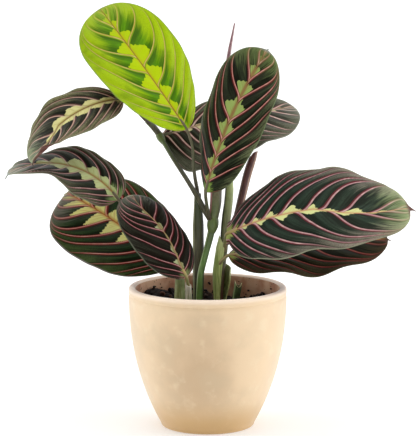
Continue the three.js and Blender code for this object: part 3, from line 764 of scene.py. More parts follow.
class PRAYERPLANT_OT_stalks(bpy.types.Operator):
    """Grow the canes, their nodes and the cut stub"""

    bl_idname = "prayer_plant.stalks"
    bl_label = "Grow Stalks"

    def execute(self, context):
        settings = context.scene.prayer_plant_stalk
        sheath = stalk_material(
            "Olive Leaf Sheath", list(settings.olive), "#5A573A", "#989C76", edge_at=0.84,
            top="#465030", foot="#34332A", far="#14160F",
        )
        radii = [4.3, 4.5, 4.6, 4.5, 2.7]
        wrap = wrapped(0.8, ribs=14, rib_height=0.008)
        grow("olive_stalk", sheath, "olive_stalk", "stem_left", LEFT_STALK, radii, wrap, mouth=2.5)

        cane = stalk_material(
            "Smooth Green Cane", list(settings.green), "#7A9E58", "#A6BC86", edge_at=0.84,
            foot="#6E9650", top="#55663A", far="#33502A", roughness=0.35,
        )
        node = stalk_material(
            "Swollen Growth Node", "#5C6E3C", "#748448", "#8C9A58", edge_at=0.3, edge_width=0.1,
            far="#3A4626", roughness=0.4,
        )
        branch = stalk_material(
            "Dark Green Branch", "#454332", "#605E42", "#9AA67C", edge_at=0.76, edge_width=0.08,
            top="#5E7240", far="#26281E",
        )
        spear_sheath = stalk_material(
            "Olive Spear Sheath", "#6E6850", "#8E8666", "#BE8080", edge_at=0.83, edge_width=0.06,
            top="#6E5C50", foot="#6E7A4C", far="#3A3628",
        )
        skin = Skin()
        skin.tube(*rings(MIDDLE_CANE, [2.7, 2.7, 2.65, 2.6, 3]), 0)
        skin.tube(*rings(LOW_NODE, [2.9, 3.9, 4.6, 4.7, 4.2, 3.2, 2.2]), 1)
        skin.tube(*rings(INTERNODE, [2.6, 2.2, 1.8, 1.7, 1.7, 1.9]), 2)
        skin.tube(*rings(HIGH_NODE, [1.8, 2.6, 3.2, 3.2, 2.5, 1.6]), 1)
        skin.tube(*rings(FAR_SHEATH, [2.6, 2.5, 2.1], wrapped(0.3), mouth=1.5), 2)
        wrap = wrapped(0.72, ribs=12, rib_height=0.01)
        skin.tube(*rings(SPEAR_SHEATH, [3.6, 4.6, 4.5, 3.9, 2.9], wrap, mouth=3), 3)
        skin.build("green_cane", [cane, node, branch, spear_sheath], "green_cane", "stem_middle")

        right = stalk_material(
            "Brown Green Cane", "#5E6040", "#80805A", "#2C2A20", edge_at=0.84, edge_width=0.06,
            top="#A9B877", foot="#6C4A3C",
        )
        radii = [3.1, 3.1, 3.2, 3.4, 3.7, 3.4, 0.6]
        wrap = wrapped(0.8, ribs=12, rib_height=0.01)
        grow("brown_green_cane", right, "olive_stalk", "stem_right", RIGHT_CANE, radii, wrap, tip=0.5)

        cut = stalk_material("Cut Stump", "#3C5230", "#5B7A48", "#8BA06A", edge_at=0.85, edge_width=0.06)
        # Dead pith and skin round the cut: straw coloured, dry and dull
        pith, _, _ = new_material("Dried Cut Rim", Roughness=0.7, Base_Color="#CDBE8C")
        skin = Skin()
        stump = rings(STUB, [2.8, 3, 3.1], wrapped(0.1), mouth=5, slant=(-0.15, 0.2), split=1.8)
        end = len(stump[0])
        rim = end - len(CUP_RADII)
        skin.tube(*stump, bands=[(0, rim), (1, rim + 1), (0, end)])
        skin.build("cut_stump", [cut, pith], "green_cane", "stub")
        return {"FINISHED"}


# The pale sheaths at the foot

# The open sheath: its edges' directions in degrees from +X, its heights, and the raised point in its
# top edge, with point_at its share of the way round. flare opens it outward, up to the share flare_at
# of its height, and closing draws it in again from closing_from on. width is how far it reaches round,
# and ripple how far its fine lengthwise ripples stand out at the top.
FLAP = dict(
    left=274, right=-28, foot=90, left_top=147, right_top=126, point=12, point_at=0.84, radius=4.1,
    flare=2.3, right_flare=1.6, flare_at=0.8, closing=0.9, closing_from=0.7, width=24, thickness=0.6,
    ripples=9, ripple=0.12,
)
FLAP_COLUMNS = 70
FLAP_ROWS = 60


def cane_centre(z):
    """The middle of the right cane at a height."""
    line = np.array(RIGHT_CANE, float)
    return np.stack([np.interp(z, line[:, 2], line[:, 0]), np.interp(z, line[:, 2], line[:, 1]), z], -1)


def flap_surface():
    """The open sheath's middle surface, from its right edge round the back to its left one, and its
    places: millimetres round and up, and the share up."""
    u = np.linspace(0, 1, FLAP_COLUMNS)[:, None]
    t = np.linspace(0, 1, FLAP_ROWS)[None]
    angle = np.radians(FLAP["right"] + (FLAP["left"] - FLAP["right"]) * u)
    from_point = np.abs(u - FLAP["point_at"]) / (1 - FLAP["point_at"])
    point = FLAP["point"] * np.maximum(0, 1 - from_point) ** 1.3
    top = FLAP["right_top"] + (FLAP["left_top"] - FLAP["right_top"]) * u**1.6 + point
    z = FLAP["foot"] + (top - FLAP["foot"]) * t
    flare = np.sin(np.pi * np.minimum(t, FLAP["flare_at"]) / (2 * FLAP["flare_at"])) ** 2
    opening = FLAP["flare"] + FLAP["right_flare"] * (1 - u) ** 2
    radius = FLAP["radius"] + flare * opening
    radius = radius - FLAP["closing"] * np.maximum(0, t - FLAP["closing_from"])
    radius = radius + FLAP["ripple"] * np.sin(2 * np.pi * FLAP["ripples"] * u + 3 * t) * t
    way = np.stack([np.cos(angle) + 0 * t, np.sin(angle) + 0 * t, 0 * z], -1)
    places = np.stack([u * FLAP["width"] + 0 * t, z - FLAP["foot"], t + 0 * u], -1)
    return cane_centre(z) + radius[..., None] * way, places


def pale_sheath_material(name, body, stripe, shade, top):
    """Thin papery sheath: pale, finely striped lengthwise by its veins, drier and lighter at its top
    edge and almost without shine."""
    material, tree, shader = new_material(name, Roughness=0.55, IOR=1.4)
    place, _, _, _, along = own_places(tree)
    stripes = fibres_along(tree, place, 0.8, 20, detail=2.0)
    blotch = add_node(tree, "TexNoise", {"Vector": place, "Scale": every(10), "Detail": 4.0})
    colour = lay_over(
        tree, body,
        (stripe, stripes, 0.42, 0.6),
        (shade, blotch, 0.5, 0.8),
        (top, along, 0.72, 1.0, 0.8),
    )
    set_surface(tree, shader, colour, relief=stripes, strength=0.5, depth=0.4)
    return material


class PRAYERPLANT_OT_sheaths(bpy.types.Operator):
    """Wrap the pale papery sheaths round the stalks' feet"""

    bl_idname = "prayer_plant.sheaths"
    bl_label = "Wrap Sheaths"

    def execute(self, context):
        pale = list(context.scene.prayer_plant_stalk.pale)
        outside = pale_sheath_material("Open Pale Sheath", pale, "#8C9C5C", "#A2B078", "#C6CE98")
        # Painted light: the inner face is paler and yellower, standing in for light shining through the
        # thin sheath
        inside = pale_sheath_material("Sheath Inside With Painted Backlight", "#C6D484", "#98AC5C", "#AEBE72", "#D6DE9C")
        skin = Skin()
        middle, places = flap_surface()
        stand_off = FLAP["thickness"] / 2 * facing(middle)
        upper, lower = skin.put(middle + stand_off), skin.put(middle - stand_off)
        skin.patch(upper, places, 0)
        skin.patch(lower, places, 1, flip=True)
        skin.sheet(upper, lower, places)
        skin.build("open_sheath", [outside, inside], "pale_sheath", "sheath_open")

        back = pale_sheath_material("Pale Green Sheath", "#8E9F62", "#B9C48F", "#6A7D48", "#7C8C54")
        radii = [4.3, 4.4, 4.2, 3.7]
        wrap = wrapped(0.15, ribs=11, rib_height=0.02)
        grow("back_sheath", back, "pale_sheath", "sheath_back", BACK_SHEATH, radii, wrap, mouth=3)

        front = pale_sheath_material("Whitish Sheath", "#A9AE84", "#D6D6BC", "#7F8B5C", "#DAD6C6")
        radii = [2.7, 2.8, 2.7, 2.4]
        wrap = wrapped(0.9, ribs=9, rib_height=0.025)
        cut = dict(mouth=2, slant=(-0.5, 0.3))
        grow("front_sheath", front, "pale_sheath", "sheath_front", FRONT_SHEATH, radii, wrap, **cut)
        return {"FINISHED"}


# The two rolled leaves

LIP_AT = 0.2  # share of the way round at which the rolled blade's outer edge lies
LIP_TURN = 0.1  # how far it winds back round from foot to tip, also as a share of the way round
LIP_OUT = 0.05  # how far it stands out beyond the rolled blade's radius, as a share of the roll's depth


def rolled(depth):
    """A rolled blade's section: a spiral whose outer edge stands out as a lip along it."""

    def section(turn, along):
        inward = (turn + LIP_TURN * along - LIP_AT - LIP_TURN / 2) % 1
        return 1 - depth * inward + LIP_OUT * depth

    return section


def rolled_leaf_material(name, body, streak, lip):
    """The outside of a rolled blade: the wine-red underside with its pale slanting veins and a soft
    sheen of fine hairs."""
    material, tree, shader = new_material(
        name, Roughness=0.42, IOR=1.45, Sheen_Weight=0.15, Sheen_Roughness=0.5
    )
    place, _, turn, _, _ = own_places(tree)
    fibres = fibres_along(tree, place, 0.6, 14)
    colour = lay_over(
        tree, body,
        (streak, fibres, 0.4, 0.65),
        (lip, away_from(tree, turn, LIP_AT), 0.1, 0.04),
    )
    set_surface(tree, shader, colour, relief=fibres, strength=0.4, depth=0.3)
    return material


class PRAYERPLANT_OT_spears(bpy.types.Operator):
    """Roll up the two leaves that have not opened"""

    bl_idname = "prayer_plant.spears"
    bl_label = "Roll Spears"

    def execute(self, context):
        mauve = rolled_leaf_material("Mauve Rolled Leaf", "#7A545A", "#A07C80", "#B99A98")
        radii = [1.6, 2.0, 2.1, 1.9, 1.5, 0.6]
        roll = rolled(0.16)
        grow("tall_rolled_leaf", mauve, "rolled_leaf", "spear_tall", TALL_SPEAR, radii, roll, tip=0.8)

        wine = rolled_leaf_material("Wine Red Rolled Leaf", "#45241F", "#60382F", "#A68672")
        radii = [1.5, 2.8, 3.2, 3.4, 3.5, 3.6, 3.6, 2.8]
        cut = dict(mouth=4, slant=(0.9, -0.4))
        roll = rolled(0.25)
        grow("right_rolled_leaf", wine, "rolled_leaf", "spear_right", RIGHT_SPEAR, radii, roll, **cut)
        return {"FINISHED"}


# The open leaves

# How finely the blades are drawn
SPINE_STEPS = 240  # stations along the midrib
UNDER_BLADE = 16  # the station under which the petiole ends
BLADE_ROWS = 150
ROW_CROWDING = 0.6  # from 0 to 1, how much closer to each other the rows lie at the base and the tip
HALF_COLUMNS = 34
COLUMN_CROWDING = 1.35  # above 1 the columns lie closer to each other near the midrib
SECTION_STEPS = 80  # from midrib to margin, to work out how each half bends

# The shape of their margins and tips, and their relief
WAVE_SHIFT = 1.3  # how far the left margin's waves lag and the right one's lead, in radians
BODY_END = 0.965  # share of the midrib at which the round blade ends and only its point goes on
TIP_START = 0.9  # share of the midrib from which the point's own width counts
LEAST_HALF_WIDTH = 0.5
TIP_DROOP = 3  # how far the tip hangs down
DROOP_FROM = 0.92  # and from where on
TIP_KEEL = 0.25  # how far the rib stands out under the blade's tip
KEEL_DEPTH = 0.88  # and how much further under its base
KEEL_WIDTH = 0.95
GUTTER_DEPTH = 0.35  # the shallow gutter over the rib
GUTTER_WIDTH = 0.9
PETIOLE_DROP = 0.35  # how far the petiole's end lies under the midrib

# Lengths and half widths are in millimetres and angles in degrees. heading is the compass direction
# from +X towards +Y, rise the slope of the midrib at its base, veer and bend their change towards the
# tip, and roll and twist the turn about the midrib. Each half rises from the midrib by fold and bends
# down by arch on its way to the margin. round is how blunt the outline is and widest where it is
# widest. wave is the height of the margin's waves, waves their number and phase where they start.
# ruffle is how far the margin bulges between two veins. tip_width is the point's width as a share of
# the half width, and spike how much of its length is left. A curl rolls one margin up between two
# places by an angle. Pairs are left, right. What a leaf doesn't give is as in COMMON_LEAF.
COMMON_LEAF = dict(
    arch=[14, 14], fold=7, waves=2.5, phase=0, ruffle=0.7, tip_width=0.13, spike=0.5, curl=None
)
LEAVES = {
    "leaf_young": dict(
        base=[-17, 6, 239.5], rise=55, bend=-16, heading=159, veer=-26, roll=15, twist=25,
        length=132, half=[39.5, 40.5], round=[2.9, 2.1], widest=[0.49, 0.52],
        wave=0.7, spike=0.2,
        petiole=[[-7.9, 9.9, 181], [-8.2, 9.7, 189], [-9.8, 9.5, 198], [-11.2, 9, 209], [-12.1, 8, 225]],
        petiole_radii=[1.6, 1.5, 1.35, 1.2, 1.1, 1.5],
    ),
    "leaf_centre": dict(
        base=[-1.5, -12, 191.5], rise=74, bend=-28, heading=31, veer=11, roll=-9, twist=-39,
        length=132, half=[30, 29], arch=[44, 39], round=[3, 2.9], widest=[0.62, 0.46],
        wave=-1.6,
        petiole=[[3, -1, 166], [0.9, -4.5, 172.6], [-0.9, -8, 182]],
        petiole_radii=[1.5, 1.35, 1.3, 1.5],
    ),
    "leaf_far_left": dict(
        base=[-68, 16, 262.5], rise=2, bend=-67, heading=211, veer=-10, roll=46, twist=-50,
        length=101, half=[26.5, 31], round=[1.9, 2.3], widest=[0.52, 0.62],
        wave=1.2, waves=2.2, phase=-0.7, ruffle=2.2,
        petiole=[[-46.7, 34.5, 240.5], [-53.8, 30, 248.3], [-62, 22, 258.5]],
        petiole_radii=[1.6, 1.4, 1.2, 1.3],
        curl=dict(side=0, along=[0.72, 0.9], across=0.64, angle=220),
    ),
    "leaf_middle_left": dict(
        base=[-71.5, 2, 183.5], rise=55, bend=-85, heading=180, veer=13, roll=48, twist=-50,
        length=103, half=[32, 28], round=[1.8, 2.2], widest=[0.42, 0.44],
        wave=2.4, waves=2, phase=1.1, spike=1, ruffle=2,
        petiole=[[-22.5, -6, 115], [-25, -5, 122.5], [-34, -1, 134], [-46, 3, 148], [-62, 6, 170]],
        petiole_radii=[1.7, 1.6, 1.5, 1.4, 1.3, 1.4],
    ),
    "leaf_lower_left": dict(
        base=[-29, 14, 126], rise=41, bend=-22, heading=164, veer=-14, roll=38, twist=-3,
        length=115, half=[48, 43], arch=[17, 14], round=[2.9, 2.3], widest=[0.59, 0.54],
        wave=-1.1,
        petiole=[[-22.8, -2.5, 114], [-23.8, 0.8, 119.5], [-26.3, 8, 123.5]],
        petiole_radii=[1.6, 1.6, 1.5, 1.6],
    ),
    "leaf_front_left": dict(
        base=[-17, -22, 125], rise=64, bend=-24, heading=173, veer=-28, roll=31, twist=-26,
        length=83, half=[36, 28], arch=[15, 24], round=[2.5, 2.8], widest=[0.55, 0.48],
        wave=-0.3,
        petiole=[[-15.2, -18, 112], [-15.6, -19.5, 118.5]],
        petiole_radii=[1.4, 1.3, 1.3, 1.5],
    ),
    "leaf_right_upper": dict(
        base=[15.5, -8, 157], rise=27, bend=-35, heading=-43, veer=57, roll=-59, twist=32,
        length=163, half=[43.5, 41.5], arch=[16, 19], round=[1.8, 3.4], widest=[0.52, 0.56],
        wave=2.2, waves=3.4, phase=2, spike=1, ruffle=1, tip_width=0.26,
        petiole=[[12.9, 9, 139], [13.7, 4.5, 145], [14.4, -1, 151]],
        petiole_radii=[1.6, 1.5, 1.5, 1.8],
    ),
    "leaf_right_lower": dict(
        base=[17, 3, 138], rise=5, bend=2, heading=0, veer=2, roll=-15, twist=-19,
        length=133, half=[32, 32.5], arch=[25, 30], round=[2.6, 2.1], widest=[0.5, 0.45],
        wave=-3.3, phase=5,
        petiole=[[10.5, 8.4, 128.5], [9.8, 5, 130.5], [12.4, 3.2, 134.5]],
        petiole_radii=[1.4, 1.4, 1.3, 1.4],
    ),
    "leaf_behind": dict(
        base=[-37, 41.7, 230], rise=16, bend=-12, heading=11, veer=11, roll=-57, twist=38,
        length=120, half=[20, 45], arch=[14, 16], fold=12, round=[2.3, 4.2], widest=[0.6, 0.4],
        wave=4, waves=2.2, phase=-1.9, ruffle=2,
        petiole=[[-38, 37.5, 227.5]],
        petiole_radii=[1.6, 1.5, 1.5],
    ),
}

# Where the side veins leave the midrib, on the left and on the right, as shares of its length, and
# how far the pale lobe after each vein reaches out, as a share of the half width. The sweeps say how
# far forward the first and the later veins run until they reach the margin, as shares of what is
# left to the tip. left_lean and right_lean are how directly that side's veins set out, before the rest
# of their way bends forward. A bow pushes the midrib aside, by a share of the half width, between two
# places.
COMMON_VEINS = dict(left_lean=0.25, right_lean=0.25, bow=[0, 0, 1])
VEINS = {
    "leaf_young": dict(
        left=[0.035, 0.09, 0.165, 0.275, 0.43, 0.56, 0.69, 0.81], left_sweep=[0.15, 0.88],
        left_lobes=[0.18, 0.26, 0.33, 0.36, 0.35, 0.34, 0.3, 0.22],
        right=[0.04, 0.12, 0.22, 0.33, 0.485, 0.655, 0.77, 0.87], right_sweep=[0.22, 0.75],
        right_lobes=[0.16, 0.25, 0.32, 0.34, 0.34, 0.32, 0.24, 0.12],
    ),
    "leaf_centre": dict(
        left=[0.05, 0.13, 0.24, 0.345, 0.465, 0.615, 0.75, 0.87], left_sweep=[0.1, 0.72],
        left_lean=0.4, right_lean=0.55,
        left_lobes=[0.5, 0.46, 0.43, 0.4, 0.38, 0.36, 0.3, 0.2],
        right=[0.07, 0.145, 0.225, 0.33, 0.455, 0.605, 0.74, 0.87], right_sweep=[0.08, 0.85],
        right_lobes=[0.44, 0.42, 0.39, 0.36, 0.35, 0.33, 0.27, 0.2],
    ),
    "leaf_far_left": dict(
        left=[0.08, 0.175, 0.3, 0.45, 0.58, 0.7, 0.82], left_sweep=[0.3, 0.8],
        left_lobes=[0.22, 0.25, 0.26, 0.22, 0.16, 0.09, 0.03],
        right=[0.07, 0.2, 0.335, 0.5, 0.66, 0.78, 0.89], right_sweep=[0.25, 0.75],
        right_lobes=[0.22, 0.25, 0.28, 0.23, 0.15, 0.08, 0.02],
        bow=[-0.4, 0.6, 1.05],
    ),
    "leaf_middle_left": dict(
        left=[0.04, 0.12, 0.25, 0.38, 0.49, 0.62, 0.75], left_sweep=[0.35, 0.85],
        left_lobes=[0.3, 0.36, 0.38, 0.36, 0.3, 0.12, 0.02],
        right=[0.03, 0.12, 0.215, 0.33, 0.49, 0.62, 0.74, 0.86], right_sweep=[0.22, 0.5],
        right_lobes=[0.22, 0.3, 0.36, 0.38, 0.34, 0.22, 0.05, 0.02],
    ),
    "leaf_lower_left": dict(
        left=[0.02, 0.06, 0.13, 0.22, 0.33, 0.45, 0.575, 0.68, 0.77, 0.87], left_sweep=[0.15, 0.85],
        left_lobes=[0.08, 0.12, 0.18, 0.26, 0.36, 0.42, 0.48, 0.54, 0.56, 0.5],
        right=[0.05, 0.12, 0.2, 0.3, 0.4, 0.51, 0.62, 0.74, 0.86], right_sweep=[0.2, 0.75],
        right_lobes=[0.1, 0.16, 0.22, 0.28, 0.3, 0.32, 0.28, 0.2, 0.1],
    ),
    "leaf_front_left": dict(
        left=[0.03, 0.1, 0.23, 0.385, 0.5, 0.6, 0.68, 0.8], left_sweep=[0.25, 0.88],
        left_lean=0.55,
        left_lobes=[0.3, 0.28, 0.12, 0.04, 0.2, 0.02, 0.16, 0.02],
        right=[0.06, 0.2, 0.3, 0.39, 0.5, 0.64, 0.8], right_sweep=[0.2, 0.5],
        right_lobes=[0.14, 0.06, 0.03, 0.04, 0.12, 0.02, 0.02],
        bow=[0.14, 0.1, 0.8],
    ),
    "leaf_right_upper": dict(
        left=[0.045, 0.1, 0.165, 0.245, 0.34, 0.475, 0.55, 0.65, 0.8], left_sweep=[0.28, 0.64],
        left_lobes=[0.2, 0.2, 0.22, 0.24, 0.24, 0.2, 0.07, 0.15, 0.05],
        right=[0.04, 0.1, 0.19, 0.295, 0.43, 0.6, 0.75, 0.87], right_sweep=[0.25, 0.87],
        right_lobes=[0.18, 0.2, 0.22, 0.22, 0.15, 0.12, 0.06, 0.03],
        bow=[0.24, 0.5, 1.05],
    ),
    "leaf_right_lower": dict(
        left=[0.03, 0.09, 0.17, 0.28, 0.4, 0.52, 0.65, 0.8], left_sweep=[0.25, 0.8],
        left_lobes=[0.16, 0.12, 0.08, 0.04, 0.02, 0.02, 0.02, 0.02],
        right=[0.03, 0.09, 0.17, 0.27, 0.39, 0.52, 0.65, 0.8], right_sweep=[0.25, 0.85],
        right_lobes=[0.18, 0.14, 0.08, 0.05, 0.02, 0.02, 0.02, 0.02],
    ),
    "leaf_behind": dict(
        left=[0.05, 0.13, 0.22, 0.32, 0.43, 0.55, 0.67, 0.8], left_sweep=[0.2, 0.6],
        left_lobes=[0.02, 0.04, 0.1, 0.2, 0.22, 0.2, 0.24, 0.12],
        right=[0.04, 0.1, 0.17, 0.24, 0.32, 0.42, 0.53, 0.62, 0.7, 0.77, 0.84, 0.9],
        right_sweep=[0.15, 0.6],
        right_lobes=[0.02, 0.04, 0.1, 0.17, 0.17, 0.17, 0.17, 0.2, 0.24, 0.24, 0.18, 0.1],
    ),
}
PALE_PETIOLES = ["leaf_front_left", "leaf_right_upper", "leaf_right_lower"]

# How the side veins run on every blade
FULL_SWEEP_AT = 0.45  # share of the midrib from which the veins run all the way forward
TIP_SWEEP = 0.95  # how far forward the last veins run
TIP_SWEEP_OVER = [0.6, 0.95]  # from the first to the second place, the sweep becomes that
JOIN = 0.022  # how far back along the midrib a vein joins it, as a share of the blade's length
JOIN_WITHIN = 0.05  # share of the half width within which it bends back to do so
HURRY = [0.5, 0.9]  # from the first to the second place, veins come to set out straight for the tip
RIGHT_NUMBERS = 50  # the right side's veins are numbered from here, so that no two lobes match
WOBBLE = 0.05  # how unsteadily the veins run, as a share of the way from one to the next
VEINS_BEFORE = 6
BEFORE_FIRST = 0.12  # spacing of the fine veins between the first one and the margin at the base
AFTER_LAST = 0.55  # how far from the last one to the tip one more vein sets out
HALVINGS = 30  # how often the search for the place where a vein sets out halves its range
BLUR_STEPS = 35  # how softly the spacing changes from vein to vein, in steps of 0.002
LEAST_GAP = 0.4  # millimetres from vein to vein, where they run together, and where there are few
GREATEST_GAP = 40
SIDES = ("left", "right")

# Each upper face's colours. dark is the velvet along the side veins, mid the streaks halfway between
# them and light the tone towards the margin, partly the blade's own paler tone and partly a painted
# sheen where the blade turns to the light. It comes in over zone, shares of the half width, and the
# sooner by drift the nearer it is to the tip. hatch is how far the fine rays break these up. feather is
# the pale lobes and inner their tint at the midrib, which ends heart millimetres from it. lobe gives the
# places from one side vein to the next where a lobe begins to widen, is wide, begins to narrow and is
# narrow, and how square to the midrib that end is, from 0, along the vein, to 1. least is the feather's
# width between its lobes. base is the burst of pale rays at the blade's base, and burst how far it
# reaches up, as a share of the length. vein_width is half a vein's width in millimetres, glint a
# painted highlight where a vein would catch light, edge how many times as far its dark edge reaches,
# and cover how much of it the pale lobes hide. tip is the tone before the apex, and margin a thin line
# that begins at rim. roughness, specular and sheen are the face's finish.
COMMON_LOOK = dict(rim=0.965, drift=0.0, cover=0.0, edge=2.8, roughness=0.34, sheen=0.0)
LOOKS = {
    "leaf_young": dict(
        dark="#3C6404", mid="#5F9A00", light="#A2C00A", zone=[0.42, 0.78], feather="#B2CC08",
        inner="#B8B814", heart=3.2, vein="#C4A852", glint="#D2BC72", vein_edge="#7D9E10",
        midrib="#94702A", margin="#86A03C", tip="#A3BC3C", apex="#8EA048", least=0.1,
        lobe=[-0.1, 0.12, 0.6, 1.05, 0.9], base="#9CC40C", hatch=0.4, burst=0.1,
        vein_width=0.6, specular=0.14,
    ),
    "leaf_centre": dict(
        dark="#0B0F08", mid="#2A3422", light="#6C7350", zone=[0.74, 1.36], feather="#93A85C",
        inner="#8A6238", heart=2.6, vein="#BE7C72", glint="#D6A492", vein_edge="#5A1A1E",
        midrib="#8E7046", margin="#6A7A55", tip="#6E8048", apex="#8A8E84", least=0.12,
        lobe=[0.0, 0.2, 0.76, 0.96, 1.0], edge=3.0, base="#7C9A44", hatch=1.0, burst=0.12,
        vein_width=0.55, roughness=0.36, specular=0.16, sheen=0.03,
    ),
    "leaf_far_left": dict(
        dark="#0F140C", mid="#36382A", light="#86835F", zone=[0.5, 1.15], feather="#D6D08E",
        inner="#9A8A40", heart=2.6, vein="#BE9886", glint="#D8BEAA", vein_edge="#4E3430",
        midrib="#7C5F36", margin="#7E8468", tip="#8A9A72", apex="#8FA37E", least=0.14,
        lobe=[-0.2, 0.05, 0.7, 1.1, 0.5], cover=0.7, base="#B4B06C", hatch=1.3, burst=0.12,
        vein_width=0.7, specular=0.14, sheen=0.03,
    ),
    "leaf_middle_left": dict(
        dark="#0C100B", mid="#263022", light="#68674F", zone=[0.6, 1.25], feather="#C2CC90",
        inner="#A59A50", heart=2.8, vein="#C0908A", glint="#DAB8AE", vein_edge="#4E2426",
        midrib="#A5794E", margin="#7C8468", tip="#A3AA94", apex="#8C988C", least=0.18,
        lobe=[-0.2, 0.1, 0.7, 1.15, 0.8], cover=0.6, base="#8AA362", hatch=1.0, burst=0.2,
        vein_width=0.6, specular=0.15, sheen=0.02,
    ),
    "leaf_lower_left": dict(
        dark="#12180C", mid="#2E4A2C", light="#4C5E32", zone=[0.6, 1.3], feather="#F4F49A",
        inner="#CFA04C", heart=3.4, vein="#DC8C80", glint="#E8AC9C", vein_edge="#6E1C18",
        midrib="#BC6C38", margin="#86807A", tip="#8A8578", apex="#A3A080", least=0.05,
        lobe=[-0.05, 0.08, 0.12, 1.0, 0.15], cover=0.3, edge=3.4, base="#C8A040", hatch=0.9, burst=0.1,
        vein_width=0.66, roughness=0.38, specular=0.2, sheen=0.04,
    ),
    "leaf_front_left": dict(
        dark="#120D08", mid="#23231A", light="#42443A", zone=[0.75, 1.5], feather="#B4BE90",
        inner="#7C6E42", heart=4.5, vein="#B07A7A", glint="#D0A09C", vein_edge="#52191D",
        midrib="#A08A60", margin="#5A5E4E", tip="#74786A", apex="#A9A68A", least=0.025,
        lobe=[0.0, 0.2, 0.5, 0.85, 0.6], edge=3.6, base="#7A8452", hatch=1.1, burst=0.14,
        vein_width=0.46, roughness=0.36, specular=0.05,
    ),
    "leaf_right_upper": dict(
        dark="#0E1B14", mid="#2B3D31", light="#988E7E", zone=[1.06, 1.76], drift=0.7, feather="#DCE098",
        inner="#D6C486", heart=2.2, vein="#B98A8C", glint="#DDB4AE", vein_edge="#621F2A",
        midrib="#CC9A70", margin="#8A8C74", rim=0.97, tip="#9DAE78", apex="#5E3C36", least=0.04,
        lobe=[0.02, 0.26, 0.42, 0.8, 0.9], edge=2.1, base="#B9C468", hatch=0.8, burst=0.13,
        vein_width=0.82, roughness=0.36, specular=0.16, sheen=0.04,
    ),
    "leaf_right_lower": dict(
        dark="#0F130B", mid="#242A1A", light="#504834", zone=[0.5, 1.3], feather="#8FAA5A",
        inner="#B5985A", heart=2.5, vein="#8A4A42", glint="#96564A", vein_edge="#5A1414",
        midrib="#B9884E", margin="#5C5A40", tip="#3A3024", apex="#4A3A2E", least=0.02,
        lobe=[-0.1, 0.1, 0.3, 0.6, 0.5], base="#A9BA5C", hatch=0.8, burst=0.16,
        vein_width=0.6, roughness=0.4, specular=0.1,
    ),
    "leaf_behind": dict(
        dark="#1A1E14", mid="#3E4436", light="#70725E", zone=[0.4, 1.2], feather="#DAD8A0",
        inner="#C4AE84", heart=2.2, vein="#D2ACA0", glint="#EAD2C4", vein_edge="#482828",
        midrib="#B89E80", margin="#8C9080", tip="#6A6C5C", apex="#8A9078", least=0.04,
        lobe=[0.0, 0.2, 0.6, 0.95, 0.8], edge=3.0, base="#C8C890", hatch=1.0, burst=0.02,
        vein_width=0.75, specular=0.2, sheen=0.04,
    ),
}

# Fine rays run along the veins. The real ones stand about 0.3 mm apart and the velvet's cells are
# 0.05 mm across, too fine to show, so both are drawn as coarse as the eye can still make out.
STREAK_WIDTH = 0.85
STREAK_LENGTH = 15
VELVET_GRAIN = 0.9
TYPICAL_GAP = 9  # millimetres between side veins, and from midrib to margin, to scale the rays by
TYPICAL_HALF = 40
LOBE_TEETH = 0.1  # how ragged the lobes' ends are, as a share of the half width
SCALLOP = 0.035  # and how deep the scallops of their tipward edge are, as a share of the veins' spacing
SCALLOP_WIDTH = 3.4
RIB_HALF_WIDTH = 0.75  # millimetres at the base, and how much less it is at the tip
RIB_TAPER = 0.45
FEATHER_ENDS = [0.55, 0.85]  # shares of the length between which the feather between its lobes runs out
VEIN_TAPER = 0.5  # how much thinner a side vein is at the margin
EDGE_SHIFT = 0.6  # how far its dark edge lies towards the blade's base, as a share of the vein's width
UNDERSIDE_COVER = 0.75  # how much of the upper face's pattern the underside's own colour hides


def outline(s, bluntness, widest, tip_width):
    """Half width of a blade at s, 0 at the stalk and 1 at the tip, as a share of the greatest."""
    t = np.minimum(s / BODY_END, 1)
    u = np.abs(2 * t ** (math.log(0.5) / math.log(widest)) - 1)
    body = np.sqrt(np.maximum(1 - u**bluntness, 0))
    tip = tip_width * np.minimum((1 - s) / (1 - TIP_START), 1) ** 1.2
    return np.maximum(body, tip)


def spine(leaf):
    """Stations along the midrib: points and the blade's directions along, right and normal."""
    s = np.linspace(0, 1, SPINE_STEPS + 1)
    rise = np.radians(leaf["rise"] + leaf["bend"] * s)
    heading = np.radians(leaf["heading"] + leaf["veer"] * s)
    roll = np.radians(leaf["roll"] + leaf["twist"] * s)[:, None]
    along = np.stack([np.cos(rise) * np.cos(heading), np.cos(rise) * np.sin(heading), np.sin(rise)], -1)
    steps = (along[1:] + along[:-1]) * leaf["length"] / SPINE_STEPS / 2
    points = np.array(leaf["base"]) + np.vstack([np.zeros(3), np.cumsum(steps, axis=0)])
    level = np.stack([np.sin(heading), -np.cos(heading), 0 * s], -1)
    up = np.cross(level, along)
    right = level * np.cos(roll) + up * np.sin(roll)
    normal = up * np.cos(roll) - level * np.sin(roll)
    return s, points, right, normal


def walked_out(rate, half):
    """How far a line has come at even steps from the midrib to the margin, from its rate of going."""
    steps = np.cumsum((rate[:, 1:] + rate[:, :-1]) / 2, axis=1) / SECTION_STEPS * half
    return np.hstack([0 * half, steps])


def cross_section(leaf, side, s):
    """How far out and down the blade's one half reaches, in rows for s and columns for even steps
    from its midrib to its margin."""
    a = np.linspace(0, 1, SECTION_STEPS + 1)[None]
    shape = outline(s, leaf["round"][side], leaf["widest"][side], leaf["tip_width"])
    half = np.maximum(leaf["half"][side] * shape, LEAST_HALF_WIDTH)[:, None]
    angle = math.radians(leaf["arch"][side]) * a + 0 * half
    curl = leaf["curl"]
    if curl and curl["side"] == side:
        rolled_up = smoothstep(*curl["along"], s)[:, None] * smoothstep(curl["across"], 1, a)
        angle -= math.radians(curl["angle"]) * rolled_up
    return walked_out(np.cos(angle), half), walked_out(np.sin(angle), half), half


